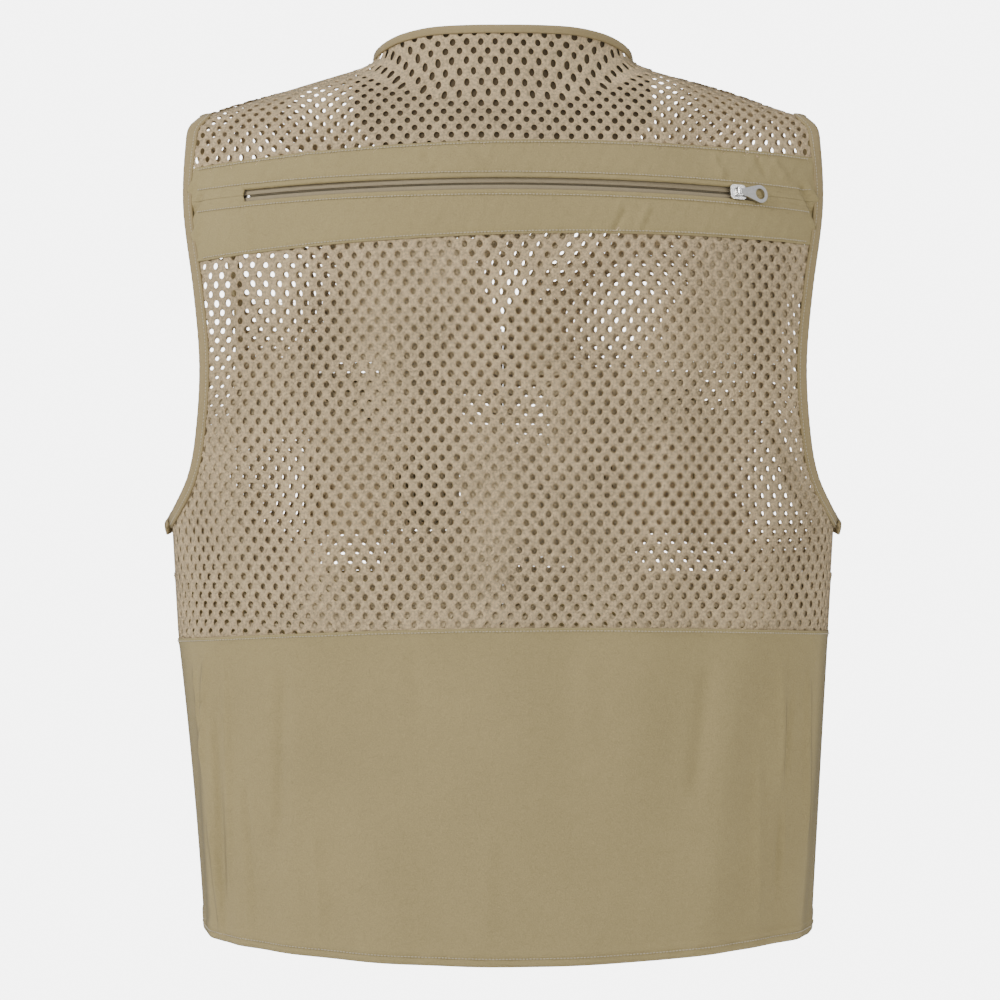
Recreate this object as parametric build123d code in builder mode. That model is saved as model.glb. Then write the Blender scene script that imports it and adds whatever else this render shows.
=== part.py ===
from build123d import *
import math
import os

# A sleeveless fishing vest, held open as on a hanger. Millimetres, +Z up, the wearer faces -Y.
# The origin is midway between the two neck points, where the shoulder ridges meet the collar.

# ---- Driving dimensions ----
HALF_WIDTH = 252.0          # body half-width at the chest
HALF_DEPTH = 118.0          # body half-depth at the chest
WAIST_TAPER = 0.056         # half-width lost per millimetre below the chest
CHEST_Z = -340.0            # height where the taper starts
SHOULDER_DROP = 150.0       # height over which the shoulders round over into the upright body
RIDGE_TOP = 37.5            # height where the two sloping shoulder ridges would meet
RIDGE_SLOPE = 0.326         # fall of a shoulder ridge per millimetre of width
RIDGE_BLEND = 60.0          # half-width of the rounded middle of the ridge line
CLOTH = 1.8                 # cloth thickness
BODY_GAP = 0.6              # half of the gap between the back and a front
SEAM_GAP = 0.1              # half of the gap between neighbouring panels
EDGE_WIDTH = 9.0            # width of the bound edges

NECK_HALF_WIDTH = 98.0
NECK_HALF_DEPTH = 76.0
COLLAR_TOP = 22.0
COLLAR_LEAN = 6.0           # inward lean of the collar over its height
COLLAR_EDGE = 5.0           # height of the bound edge of the collar
COLLAR_SIDE = [(90, -19), (0, 2.2), (-40, 1.2), (-22, 30), (90, 30)]   # side view: depth, height

YOKE_Z = (-65.0, -80.0)     # seam above the zip band: height at the middle, height at the sides
BAND_Z = (-135.0, -146.0)   # seam below the zip band
LOWER_Z = (-428.0, -434.0)  # top of the plain lower panel
HEM_Z = (-673.0, -655.0)    # hem of the back and of the fronts
FRONT_YOKE_Z = -178.0       # foot of the front yokes and of the V neckline
FRONT_LOWER_Z = -385.0      # top of the plain lower fronts

BACK_ARMHOLE = [(234, 40), (239, -43), (240, -110), (231.5, -173), (227, -226), (229.5, -272),
                (237, -311), (256, -351)]
FRONT_ARMHOLE = [(234, 40), (237, -43), (216, -125), (207, -180), (206, -235), (214, -285),
                 (232, -325), (256, -351)]
FRONT_NECKLINE = [(0.7, -186), (8, -178), (46, -112), (80, -48), (93, 5), (96, 40)]

# Zips
ZIP_RADIUS = 402.0          # radius of the back zip's arc
ZIP_TILT = 7.0              # tilt of the arc's plane, degrees
ZIP_MIDDLE = (0.0, 114.7, -97.0)
ZIP_OPEN_END = 28.7         # arc angle of the open end, degrees from the middle towards +X
ZIP_SHUT_END = -27.8        # arc angle of the closed end
SLIDER_REST = -25.6         # arc angle where the closed slider rests
SLOT_HALF = 4.7             # half-height of the slot in the band
ZIP_LEAN = 6.0              # lean of the tapes over the shoulder blades, degrees
TAPE_HALF = 10.0            # half-width of the zip's two tapes together
COIL_HALF = 3.3             # half-width of the closed coil
COIL_GAP = 0.8              # half of the gap between the two sides of the coil
TAPE_LEVEL = (-3.7, -3.1)   # tape, below the outer face of the cloth
COIL_LEVEL = (-5.9, -3.8)
BOX_LEVEL = (-6.3, -2.5)    # box at the foot of the front zip
PIN_LEVEL = (-5.7, -3.9)    # pin that goes into it
SLIDER_LENGTH = 13.0
FRONT_ZIP_TOP = -196.0
FRONT_ZIP_FOOT = -655.0
FRONT_SLIDER_Z = -648.0

# Pockets: inner side, outer side, top, foot, depth at the top, depth at the foot, flap length
CHEST_POCKET = (38.0, 148.0, -236.0, -350.0, 11.0, 22.0, 40.0)
LOWER_POCKET = (34.0, 190.0, -410.0, -612.0, 13.0, 28.0, 62.0)
POCKET_WALL = 1.4
POCKET_GAP = 0.6            # gap between a pocket and the front it is sewn to
FLAP_SIDE = 3.0             # how far a flap overhangs each side of its pocket
FLAP_RISE = 5.0             # height of a flap's seam above its pocket
FLAP_CLOTH = 1.6
PATCH_LENGTH = 34.0         # hook-and-loop patches

# Lining of the back pocket and the tapes inside the side seams
LINING_INSET = 10.0         # depth of the lining inside the form
LINING_EDGE = 9.5           # distance of its side edges from the middle plane
LINING_TOP = (-74.0, -90.0)
LINING_FOOT = (-428.0, -434.0)
SIDE_TAPE_EDGE = 8.8
SIDE_TAPE_SPAN = (-642.0, -358.0)

# Sliders, pulls and the D-ring
PIN_RADIUS = 0.9
PLATE_LEVEL = 1.0           # underside of a slider's outer plate, above the cloth
PIN_HEIGHT = 4.8            # pin above the cloth
PULL_EYE_HALF = 2.1         # half-width of the pull at its pin
PULL_RING_AT = 18.5         # middle of the pull's ring
PULL_RING = 6.8
PULL_HOLE = 4.2
PULL_LEAN = 9.0             # lean of the resting pull towards the cloth, degrees
WIRE_RADIUS = 1.5
TAB_EYE = 3.2
TAB_HALF = 9.4
RING_INNER = 10.5
RING_Z = -203.0

SIDES = {"left": 1, "right": -1}

os.makedirs("parts", exist_ok=True)


# ---- The form of the body ----
def ridge(x):
    """Height of the shoulder ridge at x."""
    return RIDGE_TOP - RIDGE_SLOPE * math.hypot(x, RIDGE_BLEND)


def half_width(z):
    """Half-width of the body at height z."""
    return HALF_WIDTH - WAIST_TAPER * max(0.0, CHEST_Z - z)


def form_point(turn, down, inset, side):
    """Point of the body's form: turn from -90 to 90 degrees across, down from 0 at the ridge
    through 1 where the body is upright to 2 at the hem, side 1 at the back and -1 in front."""
    across = math.sin(math.radians(turn))
    deep = math.cos(math.radians(turn)) * (HALF_DEPTH - inset)
    chest = (HALF_WIDTH - inset) * across
    upright = ridge(chest) - SHOULDER_DROP
    if down <= 1:
        lean = math.radians(90 * down)
        z = upright + (SHOULDER_DROP - inset) * math.cos(lean)
        return (chest, side * deep * math.sin(lean), z)
    z = upright + (down - 1) * (HEM_Z[0] - 12 - upright)
    return ((half_width(z) - inset) * across, side * deep, z)


def form_shell(inset, thickness, side):
    """Sheet of even thickness that lies inset inside the form, on one side of the body.
    It runs a little over the ridge and past the side, and stays off the shoulder tips."""
    rows = []
    for step in range(-1, 17):
        down = step / 8
        reach = 78 + 16 * min(max(down - 1, 0) * 4, 1)
        rows.append([form_point(reach * i / 16, down, inset, side) for i in range(-16, 17)])
    face = Face.make_surface_from_array_of_points(rows, tol=0.05)
    return Solid.thicken(face, side * thickness)


def moved_line(points, amount):
    """The points of a line, each moved sideways by amount, to the left of its direction."""
    result = []
    for i, (x, z) in enumerate(points):
        before = points[max(i - 1, 0)]
        after = points[min(i + 1, len(points) - 1)]
        run = math.dist(before, after)
        result.append((x - amount * (after[1] - before[1]) / run, z + amount * (after[0] - before[0]) / run))
    return result


def torso_outline(armhole, neckline, inset=0.0):
    """Outline of the +X half of a side of the body, seen along Y and running past its hem.
    The armhole runs down, the neckline runs up, and inset leaves off their bound edges."""
    arm = moved_line(armhole, -inset)
    neck = moved_line(neckline, -inset)
    with BuildSketch(Plane.XZ) as outline:
        with BuildLine():
            Spline(*arm)
            Polyline(arm[-1], (300, arm[-1][1]), (300, -700), (neck[0][0], -700), neck[0])
            Spline(*neck)
            Line(neck[-1], arm[0])
        make_face()
    return outline.sketch


def seam_line(seam):
    """Line of a seam across the body: an arc, or a straight line where it is level."""
    if seam[0] == seam[1]:
        return Line((-HALF_WIDTH, seam[1]), (HALF_WIDTH, seam[1]))
    return ThreePointArc((-HALF_WIDTH, seam[1]), (0, seam[0]), (HALF_WIDTH, seam[1]))


def region(top, foot):
    """Area between two seams, each given by its height at the middle and at the sides."""
    with BuildSketch(Plane.XZ) as area:
        with BuildLine():
            seam_line(top)
            seam_line(foot)
            for end in (-HALF_WIDTH, HALF_WIDTH):
                out = math.copysign(300, end)
                Polyline((end, top[1]), (out, top[1]), (out, foot[1]), (end, foot[1]))
        make_face()
    return area.sketch


def shifted(seam, rise):
    """A seam's two heights, moved up by rise."""
    return (seam[0] + rise, seam[1] + rise)


def cut_from(shell, *areas):
    """Piece of a shell that lies behind every one of the areas."""
    with BuildPart() as piece:
        add(shell)
        for area in areas:
            extrude(area, amount=300, both=True, mode=Mode.INTERSECT)
    return piece.part


def save(part, name):
    """Name a finished piece and write it out."""
    part.label = name
    export_step(part, f"parts/{name}.step")


def both_halves(area):
    """A half outline and its mirror image together."""
    with BuildSketch(Plane.XZ) as whole:
        add(area)
        mirror(area, about=Plane.YZ)
    return whole.sketch


def one_side(area, side):
    """A half outline on the +X side, or its mirror image."""
    with BuildSketch(Plane.XZ) as half:
        if side > 0:
            add(area)
        else:
            mirror(area, about=Plane.YZ)
    return half.sketch


def trimmed(part, plane):
    """The part on the side of the plane that its normal points to."""
    with BuildPart() as kept:
        add(part)
        split(bisect_by=plane, keep=Keep.TOP)
    return kept.part


# ---- The zip band's arc ----
ZIP_UP = Vector(0, -math.sin(math.radians(ZIP_TILT)), math.cos(math.radians(ZIP_TILT)))
ZIP_BACKWARD = Vector(0, math.cos(math.radians(ZIP_TILT)), math.sin(math.radians(ZIP_TILT)))
ZIP_CENTRE = Vector(*ZIP_MIDDLE) - ZIP_BACKWARD * ZIP_RADIUS


def zip_frame(turn):
    """Plane standing across the slot at an arc angle: its x runs out of the cloth, its y up it."""
    along = math.radians(turn)
    lean = math.radians(ZIP_LEAN)
    outward = Vector(1, 0, 0) * math.sin(along) + ZIP_BACKWARD * math.cos(along)
    out = outward * math.cos(lean) + ZIP_UP * math.sin(lean)
    return Plane(origin=ZIP_CENTRE + outward * ZIP_RADIUS, x_dir=out, z_dir=outward.cross(ZIP_UP))


def zip_arc(low, high, levels, start, end):
    """Solid along the back zip: between two heights and two levels, from one arc angle to another."""
    with BuildPart() as strip:
        with BuildSketch(zip_frame(start)):
            with Locations(((levels[0] + levels[1]) / 2, (low + high) / 2)):
                Rectangle(levels[1] - levels[0], high - low)
        revolve(axis=Axis(ZIP_CENTRE, ZIP_UP), revolution_arc=start - end)
    return strip.part


def zip_bar(low, high, levels, foot, top):
    """Solid along the front zip: between two distances from the middle and two levels."""
    with BuildPart() as strip:
        with BuildSketch(Plane.XY.offset(foot)):
            with Locations(((low + high) / 2, -HALF_DEPTH - (levels[0] + levels[1]) / 2)):
                Rectangle(high - low, levels[1] - levels[0])
        extrude(amount=top - foot)
    return strip.part


# ---- The back ----
BACK_PLANE = Plane(origin=(0, BODY_GAP, 0), z_dir=(0, 1, 0))
FRONT_PLANE = Plane(origin=(0, -BODY_GAP, 0), z_dir=(0, -1, 0))
BACK_SHELL = trimmed(form_shell(0, CLOTH, 1), BACK_PLANE)
FRONT_SHELL = trimmed(form_shell(0, CLOTH, -1), FRONT_PLANE)
MIDDLE_LINE = [(-20, -300), (-20, 60)]
BACK_WHOLE = torso_outline(BACK_ARMHOLE, MIDDLE_LINE)
BACK_CLOTH = torso_outline(BACK_ARMHOLE, MIDDLE_LINE, EDGE_WIDTH)
BACK_AREA = both_halves(BACK_CLOTH)
FRONT_WHOLE = torso_outline(FRONT_ARMHOLE, FRONT_NECKLINE)
FRONT_CLOTH = torso_outline(FRONT_ARMHOLE, FRONT_NECKLINE, EDGE_WIDTH)
ABOVE = (60.0, 60.0)
LINING_PLANE = Plane(origin=(0, LINING_EDGE, 0), z_dir=(0, 1, 0))


def make_yoke():
    """Mesh over the shoulder blades, from the shoulder ridges to the zip band."""
    with BuildPart() as yoke:
        with BuildSketch(Plane.XY.offset(-120)):
            Rectangle(3 * HALF_WIDTH, 3 * HALF_DEPTH)
            Ellipse(NECK_HALF_WIDTH, NECK_HALF_DEPTH, mode=Mode.SUBTRACT)
        extrude(amount=200)
        add(cut_from(BACK_SHELL, BACK_AREA, region(ABOVE, shifted(YOKE_Z, SEAM_GAP))), mode=Mode.INTERSECT)
    save(yoke.part, "back_yoke_mesh")


def make_zip_band():
    """Plain band across the back in two halves, above and below the slot of the zip."""
    band = cut_from(BACK_SHELL, BACK_AREA, region(shifted(YOKE_Z, -SEAM_GAP), shifted(BAND_Z, SEAM_GAP)))
    slot = zip_arc(-SLOT_HALF, SLOT_HALF, (-20, 20), ZIP_OPEN_END, ZIP_SHUT_END)
    for name, up in (("zip_band_upper", 1), ("zip_band_lower", -1)):
        with BuildPart() as half:
            add(trimmed(band, Plane(ZIP_CENTRE, z_dir=ZIP_UP * up).offset(SEAM_GAP)))
            add(slot, mode=Mode.SUBTRACT)
        save(half.part, name)


def make_back_panels():
    """Large mesh panel and the plain lower panel down to the hem."""
    save(cut_from(BACK_SHELL, BACK_AREA, region(shifted(BAND_Z, -SEAM_GAP), shifted(LOWER_Z, SEAM_GAP))),
         "back_mesh_panel")
    save(cut_from(BACK_SHELL, BACK_AREA, region(shifted(LOWER_Z, -SEAM_GAP), HEM_Z)), "back_lower_panel")


def edge_strip(whole, cloth, low_x, high_x, foot):
    """Area of a bound edge: what an outline has beyond its cloth, within two distances from the middle."""
    with BuildSketch(Plane.XZ) as strip:
        add(whole)
        add(cloth, mode=Mode.SUBTRACT)
        with Locations(((low_x + high_x) / 2, (60 + foot) / 2)):
            Rectangle(high_x - low_x, 60 - foot, mode=Mode.INTERSECT)
    return strip.sketch


def make_bound_edges():
    """Binding round the armholes and down the V neckline."""
    arm_back = edge_strip(BACK_WHOLE, BACK_CLOTH, 150, 262, -356)
    arm_front = edge_strip(FRONT_WHOLE, FRONT_CLOTH, 150, 262, -356)
    neck = edge_strip(FRONT_WHOLE, FRONT_CLOTH, 0.7, 130, -193)
    for name, side in SIDES.items():
        save(cut_from(BACK_SHELL, one_side(arm_back, side)), f"back_armhole_binding_{name}")
        save(cut_from(FRONT_SHELL, one_side(arm_front, side)), f"front_armhole_binding_{name}")
        save(cut_from(FRONT_SHELL, one_side(neck, side)), f"neckline_binding_{name}")


def collar_ring(foot, top, grow):
    """Oval wall of the stand-up collar between two heights, grown outward by grow."""
    with BuildPart() as ring:
        for cut, mode in ((0, Mode.ADD), (CLOTH + 2 * grow, Mode.SUBTRACT)):
            for z in (foot, top):
                lean = COLLAR_LEAN * (z + 20) / (COLLAR_TOP + 20)
                shrink = 0.4 + lean + cut - grow
                with BuildSketch(Plane.XY.offset(z)):
                    Ellipse(NECK_HALF_WIDTH - shrink, NECK_HALF_DEPTH - shrink)
            loft(mode=mode)
    return ring.part


def make_collar():
    """Stand-up mesh collar, open in front, and the binding along its top."""
    wall = collar_ring(-20, COLLAR_TOP - COLLAR_EDGE - SEAM_GAP, 0)
    edge = collar_ring(COLLAR_TOP - COLLAR_EDGE, COLLAR_TOP, 0.4)
    for ring, name in ((wall, "collar_mesh"), (edge, "collar_binding")):
        with BuildPart() as piece:
            with BuildSketch(Plane.YZ):
                with BuildLine():
                    Polyline(*COLLAR_SIDE, close=True)
                make_face()
            extrude(amount=2 * NECK_HALF_WIDTH, both=True)
            add(ring, mode=Mode.INTERSECT)
        save(piece.part, name)


def make_hanger_loop():
    """Loop of tape inside the back of the collar, to hang the vest by."""
    with BuildPart() as loop:
        with BuildSketch(Plane.XZ.offset(-62)):
            with BuildLine():
                ThreePointArc((-30, -4), (0, -15), (30, -4))
                ThreePointArc((-30, 2), (0, -9), (30, 2))
                Line((-30, -4), (-30, 2))
                Line((30, -4), (30, 2))
            make_face()
        extrude(amount=-1.6)
        with Locations((-31, 62.8, -1), (31, 62.8, -1)):
            Box(4, 2.8, 6)
    save(loop.part, "hanger_loop")


def make_pocket_lining():
    """Inner sheet of the large back pocket, joined to the back along its top and its foot."""
    spread = region(LINING_TOP, shifted(LINING_FOOT, -2))
    sheet = cut_from(form_shell(LINING_INSET, CLOTH, 1), BACK_AREA, spread)
    rim = form_shell(CLOTH + 0.4, LINING_INSET - CLOTH, 1)
    with BuildPart() as lining:
        add(trimmed(sheet, LINING_PLANE))
        for top in (LINING_TOP, LINING_FOOT):
            edge = cut_from(rim, BACK_AREA, region(top, shifted(top, -2)))
            add(trimmed(edge, LINING_PLANE))
    save(lining.part, "back_pocket_lining")


def make_side_tapes():
    """Seam tape inside each side seam, below the armhole."""
    inside = trimmed(form_shell(CLOTH + 0.3, 1.2, 1), BACK_PLANE)
    near = trimmed(inside, Plane(origin=(0, SIDE_TAPE_EDGE, 0), z_dir=(0, -1, 0)))
    foot, top = SIDE_TAPE_SPAN
    for name, side in SIDES.items():
        with BuildSketch(Plane.XZ) as area:
            with Locations((side * HALF_WIDTH, (top + foot) / 2)):
                Rectangle(100, top - foot)
        save(cut_from(near, area.sketch), f"side_seam_tape_{name}")


# ---- Zips ----
def zip_slider(frame, nose, name):
    """Slider that rides over the tapes. In its frame x is the way the pull lies, z is outward,
    and nose is 1 or -1, the end that closes the zip."""
    with BuildPart() as slider:
        with BuildSketch(frame.offset(PLATE_LEVEL)):
            RectangleRounded(SLIDER_LENGTH, 11.2, 3)
        extrude(amount=1.5)
        with BuildSketch(frame.offset(TAPE_LEVEL[1] + 0.4)):
            Rectangle(11, 7.2)
        extrude(amount=PLATE_LEVEL - TAPE_LEVEL[1] - 0.4)
        with BuildSketch(frame.offset(COIL_LEVEL[0] - 0.4)):
            with Locations((nose * 4.2, 0)):
                Rectangle(2.4, 2 * COIL_GAP - 0.8)
        extrude(amount=4.5)
        with BuildSketch(frame.offset(COIL_LEVEL[0] - 0.4)):
            RectangleRounded(SLIDER_LENGTH, 9, 2)
        extrude(amount=-1.4)
        with BuildSketch(frame.offset(COIL_LEVEL[0] - 0.4)):
            with Locations((0, 4.1), (0, -4.1)):
                Rectangle(9, 0.8)
        extrude(amount=1.8)
        with BuildSketch(frame.offset(PLATE_LEVEL + 1.5)):
            with Locations((0, PULL_EYE_HALF + 0.8), (0, -PULL_EYE_HALF - 0.8)):
                RectangleRounded(4, 1.0, 0.4)
        extrude(amount=3.2)
        with BuildSketch(pin_plane(frame)):
            Circle(PIN_RADIUS)
        extrude(amount=PULL_EYE_HALF + 1, both=True)
    save(slider.part, name)


def pin_plane(frame):
    """Plane at the middle of a slider's pin, facing along it."""
    return Plane(origin=frame.origin + frame.z_dir * PIN_HEIGHT, x_dir=frame.x_dir, z_dir=frame.y_dir)


def zip_pull(frame, name):
    """Ring-ended pull tab that swings on the slider's pin."""
    lean = math.radians(PULL_LEAN)
    along = frame.x_dir * math.cos(lean) - frame.z_dir * math.sin(lean)
    flat = Plane(origin=pin_plane(frame).origin, x_dir=along, z_dir=along.cross(frame.y_dir))
    with BuildPart() as pull:
        with BuildSketch(flat):
            with Locations((2, 0)):
                Circle(PULL_EYE_HALF)
            with Locations((PULL_RING_AT, 0)):
                Circle(PULL_RING)
            make_hull()
            with Locations((PULL_RING_AT, 0)):
                Circle(PULL_HOLE, mode=Mode.SUBTRACT)
        extrude(amount=0.7, both=True)
        with BuildSketch(pin_plane(frame)):
            Circle(1.9)
        extrude(amount=PULL_EYE_HALF, both=True)
        with BuildSketch(pin_plane(frame)):
            Circle(PIN_RADIUS + 0.06)
        extrude(amount=PULL_EYE_HALF + 1, both=True, mode=Mode.SUBTRACT)
    save(pull.part, name)


def make_back_zip():
    """Curved zip across the back, shut, with its slider at the -X end."""
    start = ZIP_OPEN_END + 0.8
    end = ZIP_SHUT_END - 0.8
    halves = (("upper", (COIL_GAP, TAPE_HALF), (COIL_GAP, COIL_HALF)),
              ("lower", (-TAPE_HALF, -COIL_GAP), (-COIL_HALF, -COIL_GAP)))
    for name, tape, coil in halves:
        save(zip_arc(*tape, TAPE_LEVEL, start, end), f"back_zip_tape_{name}")
        save(zip_arc(*coil, COIL_LEVEL, ZIP_OPEN_END - 0.5, ZIP_SHUT_END + 0.5), f"back_zip_coil_{name}")
    with BuildPart() as stops:
        add(zip_arc(-COIL_HALF, COIL_HALF, COIL_LEVEL, ZIP_OPEN_END, ZIP_OPEN_END - 0.4))
        add(zip_arc(-COIL_HALF, COIL_HALF, COIL_LEVEL, ZIP_SHUT_END + 0.4, ZIP_SHUT_END))
    save(stops.part, "back_zip_stops")
    across = zip_frame(SLIDER_REST)
    frame = Plane(origin=across.origin, x_dir=across.z_dir * -1, z_dir=across.x_dir)
    zip_slider(frame, 1, "back_zip_slider")
    zip_pull(frame, "back_zip_pull")


def make_front_zip():
    """Straight open-ended zip, undone, with the slider down at its box on the left front."""
    for name, side in SIDES.items():
        foot = FRONT_ZIP_FOOT if side > 0 else FRONT_ZIP_FOOT + 17
        coil_foot = FRONT_ZIP_FOOT if side > 0 else FRONT_ZIP_FOOT + 29
        tape = zip_bar(COIL_GAP, TAPE_HALF, TAPE_LEVEL, foot, FRONT_ZIP_TOP)
        coil = zip_bar(COIL_GAP, COIL_HALF, COIL_LEVEL, coil_foot, FRONT_ZIP_TOP - 2)
        stop = zip_bar(COIL_GAP, COIL_HALF, COIL_LEVEL, FRONT_ZIP_TOP - 1.8, FRONT_ZIP_TOP)
        save(flipped(tape, side), f"front_zip_tape_{name}")
        save(flipped(coil, side), f"front_zip_coil_{name}")
        save(flipped(stop, side), f"front_zip_stop_{name}")
    box = zip_bar(-4.0, 5.0, BOX_LEVEL, FRONT_ZIP_FOOT - 12, FRONT_ZIP_FOOT - 0.2)
    save(box, "front_zip_box")
    pin = zip_bar(COIL_GAP, 2.8, PIN_LEVEL, FRONT_ZIP_FOOT + 15, FRONT_ZIP_FOOT + 28.8)
    save(flipped(pin, -1), "front_zip_pin")
    frame = Plane(origin=(0, -HALF_DEPTH, FRONT_SLIDER_Z), x_dir=(0, 0, -1), z_dir=(0, -1, 0))
    zip_slider(frame, -1, "front_zip_slider")
    zip_pull(frame, "front_zip_pull")


# ---- The fronts and their pockets ----
def flipped(part, side):
    """The part itself on the left, or its mirror image on the right."""
    if side > 0:
        return part
    with BuildPart() as other:
        add(part)
        mirror(about=Plane.YZ, mode=Mode.REPLACE)
    return other.part


def make_front_panels():
    """Mesh yoke, mesh chest panel and plain lower panel of each front."""
    seams = (ABOVE, (FRONT_YOKE_Z, FRONT_YOKE_Z), (FRONT_LOWER_Z, FRONT_LOWER_Z), HEM_Z)
    names = ("front_yoke_mesh", "front_mesh_panel", "front_lower_panel")
    for name, side in SIDES.items():
        area = one_side(FRONT_CLOTH, side)
        for i, panel in enumerate(names):
            strip = region(shifted(seams[i], -SEAM_GAP), shifted(seams[i + 1], SEAM_GAP))
            save(cut_from(FRONT_SHELL, area, strip), f"{panel}_{name}")


def pocket_frame(pocket):
    """Plane across a left pocket at its inner side: x outward from the chest, y up.
    Also the width of the pocket and how far the chest bulges in front of that plane."""
    inner, outer, top, foot = pocket[:4]
    middle = (inner + outer) / 2
    a = Vector(inner, -HALF_DEPTH * math.sqrt(1 - (inner / HALF_WIDTH) ** 2), 0)
    b = Vector(outer, -HALF_DEPTH * math.sqrt(1 - (outer / HALF_WIDTH) ** 2), 0)
    across = (b - a).normalized()
    outward = Vector(across.Y, -across.X, 0)
    c = Vector(middle, -HALF_DEPTH * math.sqrt(1 - (middle / HALF_WIDTH) ** 2), 0)
    return Plane(origin=a, x_dir=outward, z_dir=across * -1), (b - a).length, (c - a).dot(outward)


def prism(frame, points, start, length):
    """Closed section in a pocket's plane, run along the pocket's width."""
    with BuildPart() as bar:
        with BuildSketch(frame.offset(-start)):
            with BuildLine():
                Polyline(*points, close=True)
            make_face()
        extrude(amount=-length)
    return bar.part


def thick_line(points, thickness):
    """Closed outline of a bent line with an even thickness."""
    return moved_line(points, thickness / 2) + moved_line(points, -thickness / 2)[::-1]


def pocket_parts(pocket, side, label, name):
    """Pocket box that deepens towards its foot, open at the top under a sewn-on flap."""
    top, foot, shallow, deep, flap = pocket[2:]
    frame, width, bulge = pocket_frame(pocket)
    front_top = bulge + POCKET_GAP + shallow
    front_foot = bulge + POCKET_GAP + deep
    slope = (front_foot - front_top) / (top - foot)
    outer = [(-2, foot), (front_foot - 3, foot), (front_foot, foot + 3), (front_top, top), (-2, top)]
    inner = [(-2, foot + POCKET_WALL), (front_foot - 3 - POCKET_WALL, foot + POCKET_WALL),
             (front_foot - POCKET_WALL, foot + 3 + POCKET_WALL), (front_top - POCKET_WALL, top + 1),
             (-2, top + 1)]
    with BuildPart() as hollow:
        add(prism(frame, inner, POCKET_WALL, width - 2 * POCKET_WALL))
        with BuildSketch(Plane.XY.offset(foot - 10)):
            Ellipse(HALF_WIDTH + POCKET_GAP + POCKET_WALL, HALF_DEPTH + POCKET_GAP + POCKET_WALL)
        extrude(amount=top - foot + 20, mode=Mode.SUBTRACT)
    with BuildPart() as bag:
        add(prism(frame, outer, 0, width))
        with BuildSketch(Plane.XY.offset(foot - 10)):
            Ellipse(HALF_WIDTH + POCKET_GAP, HALF_DEPTH + POCKET_GAP)
        extrude(amount=top - foot + 20, mode=Mode.SUBTRACT)
        add(hollow.part, mode=Mode.SUBTRACT)
    save(flipped(bag.part, side), f"{label}_pocket_{name}")
    hinge = (bulge + 2.4, top + FLAP_RISE)
    bend = (front_top + 2.2, top + 1.5)
    tip = (bend[0] + slope * (flap + 1.5), top - flap)
    sheet = prism(frame, thick_line([hinge, bend, tip], FLAP_CLOTH), -FLAP_SIDE, width + 2 * FLAP_SIDE)
    save(flipped(sheet, side), f"{label}_flap_{name}")
    patch_top = (tip[0] - slope * 16, tip[1] + 16)
    patch_foot = (tip[0] - slope * 4, tip[1] + 4)
    for part, shift in (("flap", -1.1), ("pocket", -1.9)):
        line = [(patch_top[0] + shift, patch_top[1]), (patch_foot[0] + shift, patch_foot[1])]
        patch = prism(frame, thick_line(line, 0.4), (width - PATCH_LENGTH) / 2, PATCH_LENGTH)
        save(flipped(patch, side), f"{label}_{part}_patch_{name}")


def make_ring_tab():
    """Folded webbing tab on the left chest that carries a D-ring for small tools."""
    frame, width, bulge = pocket_frame(CHEST_POCKET)
    level = bulge + 0.8 + TAB_EYE
    middle = width / 2
    face = Plane(origin=frame.origin + frame.z_dir * -middle + frame.x_dir * level,
                 x_dir=frame.z_dir * -1, z_dir=frame.x_dir)
    eye = Plane(origin=face.origin + Vector(0, 0, RING_Z), x_dir=frame.x_dir, z_dir=frame.z_dir)
    with BuildPart() as tab:
        with BuildSketch(face.offset(-TAB_EYE)):
            with Locations((0, RING_Z + 10)):
                Rectangle(2 * TAB_HALF, 18)
        extrude(amount=2 * CLOTH)
        with BuildSketch(eye):
            Circle(TAB_EYE)
        extrude(amount=TAB_HALF, both=True)
        with BuildSketch(eye):
            Circle(WIRE_RADIUS + 0.06)
        extrude(amount=TAB_HALF + 1, both=True, mode=Mode.SUBTRACT)
    save(tab.part, "ring_tab")
    with BuildPart() as ring:
        with BuildSketch(face):
            with Locations((0, RING_Z)):
                Circle(RING_INNER + 2 * WIRE_RADIUS)
                Circle(RING_INNER, mode=Mode.SUBTRACT)
            with Locations((0, RING_Z + 20)):
                Rectangle(60, 40, mode=Mode.SUBTRACT)
        extrude(amount=WIRE_RADIUS, both=True)
        with BuildSketch(eye):
            Circle(WIRE_RADIUS)
        extrude(amount=RING_INNER + 2 * WIRE_RADIUS, both=True)
    save(ring.part, "d_ring")


make_yoke()
make_zip_band()
make_back_panels()
make_bound_edges()
make_collar()
make_hanger_loop()
make_pocket_lining()
make_side_tapes()
make_back_zip()
make_front_zip()
make_front_panels()
for side_name, side_sign in SIDES.items():
    pocket_parts(CHEST_POCKET, side_sign, "chest", side_name)
    pocket_parts(LOWER_POCKET, side_sign, "lower", side_name)
make_ring_tab()
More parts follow.
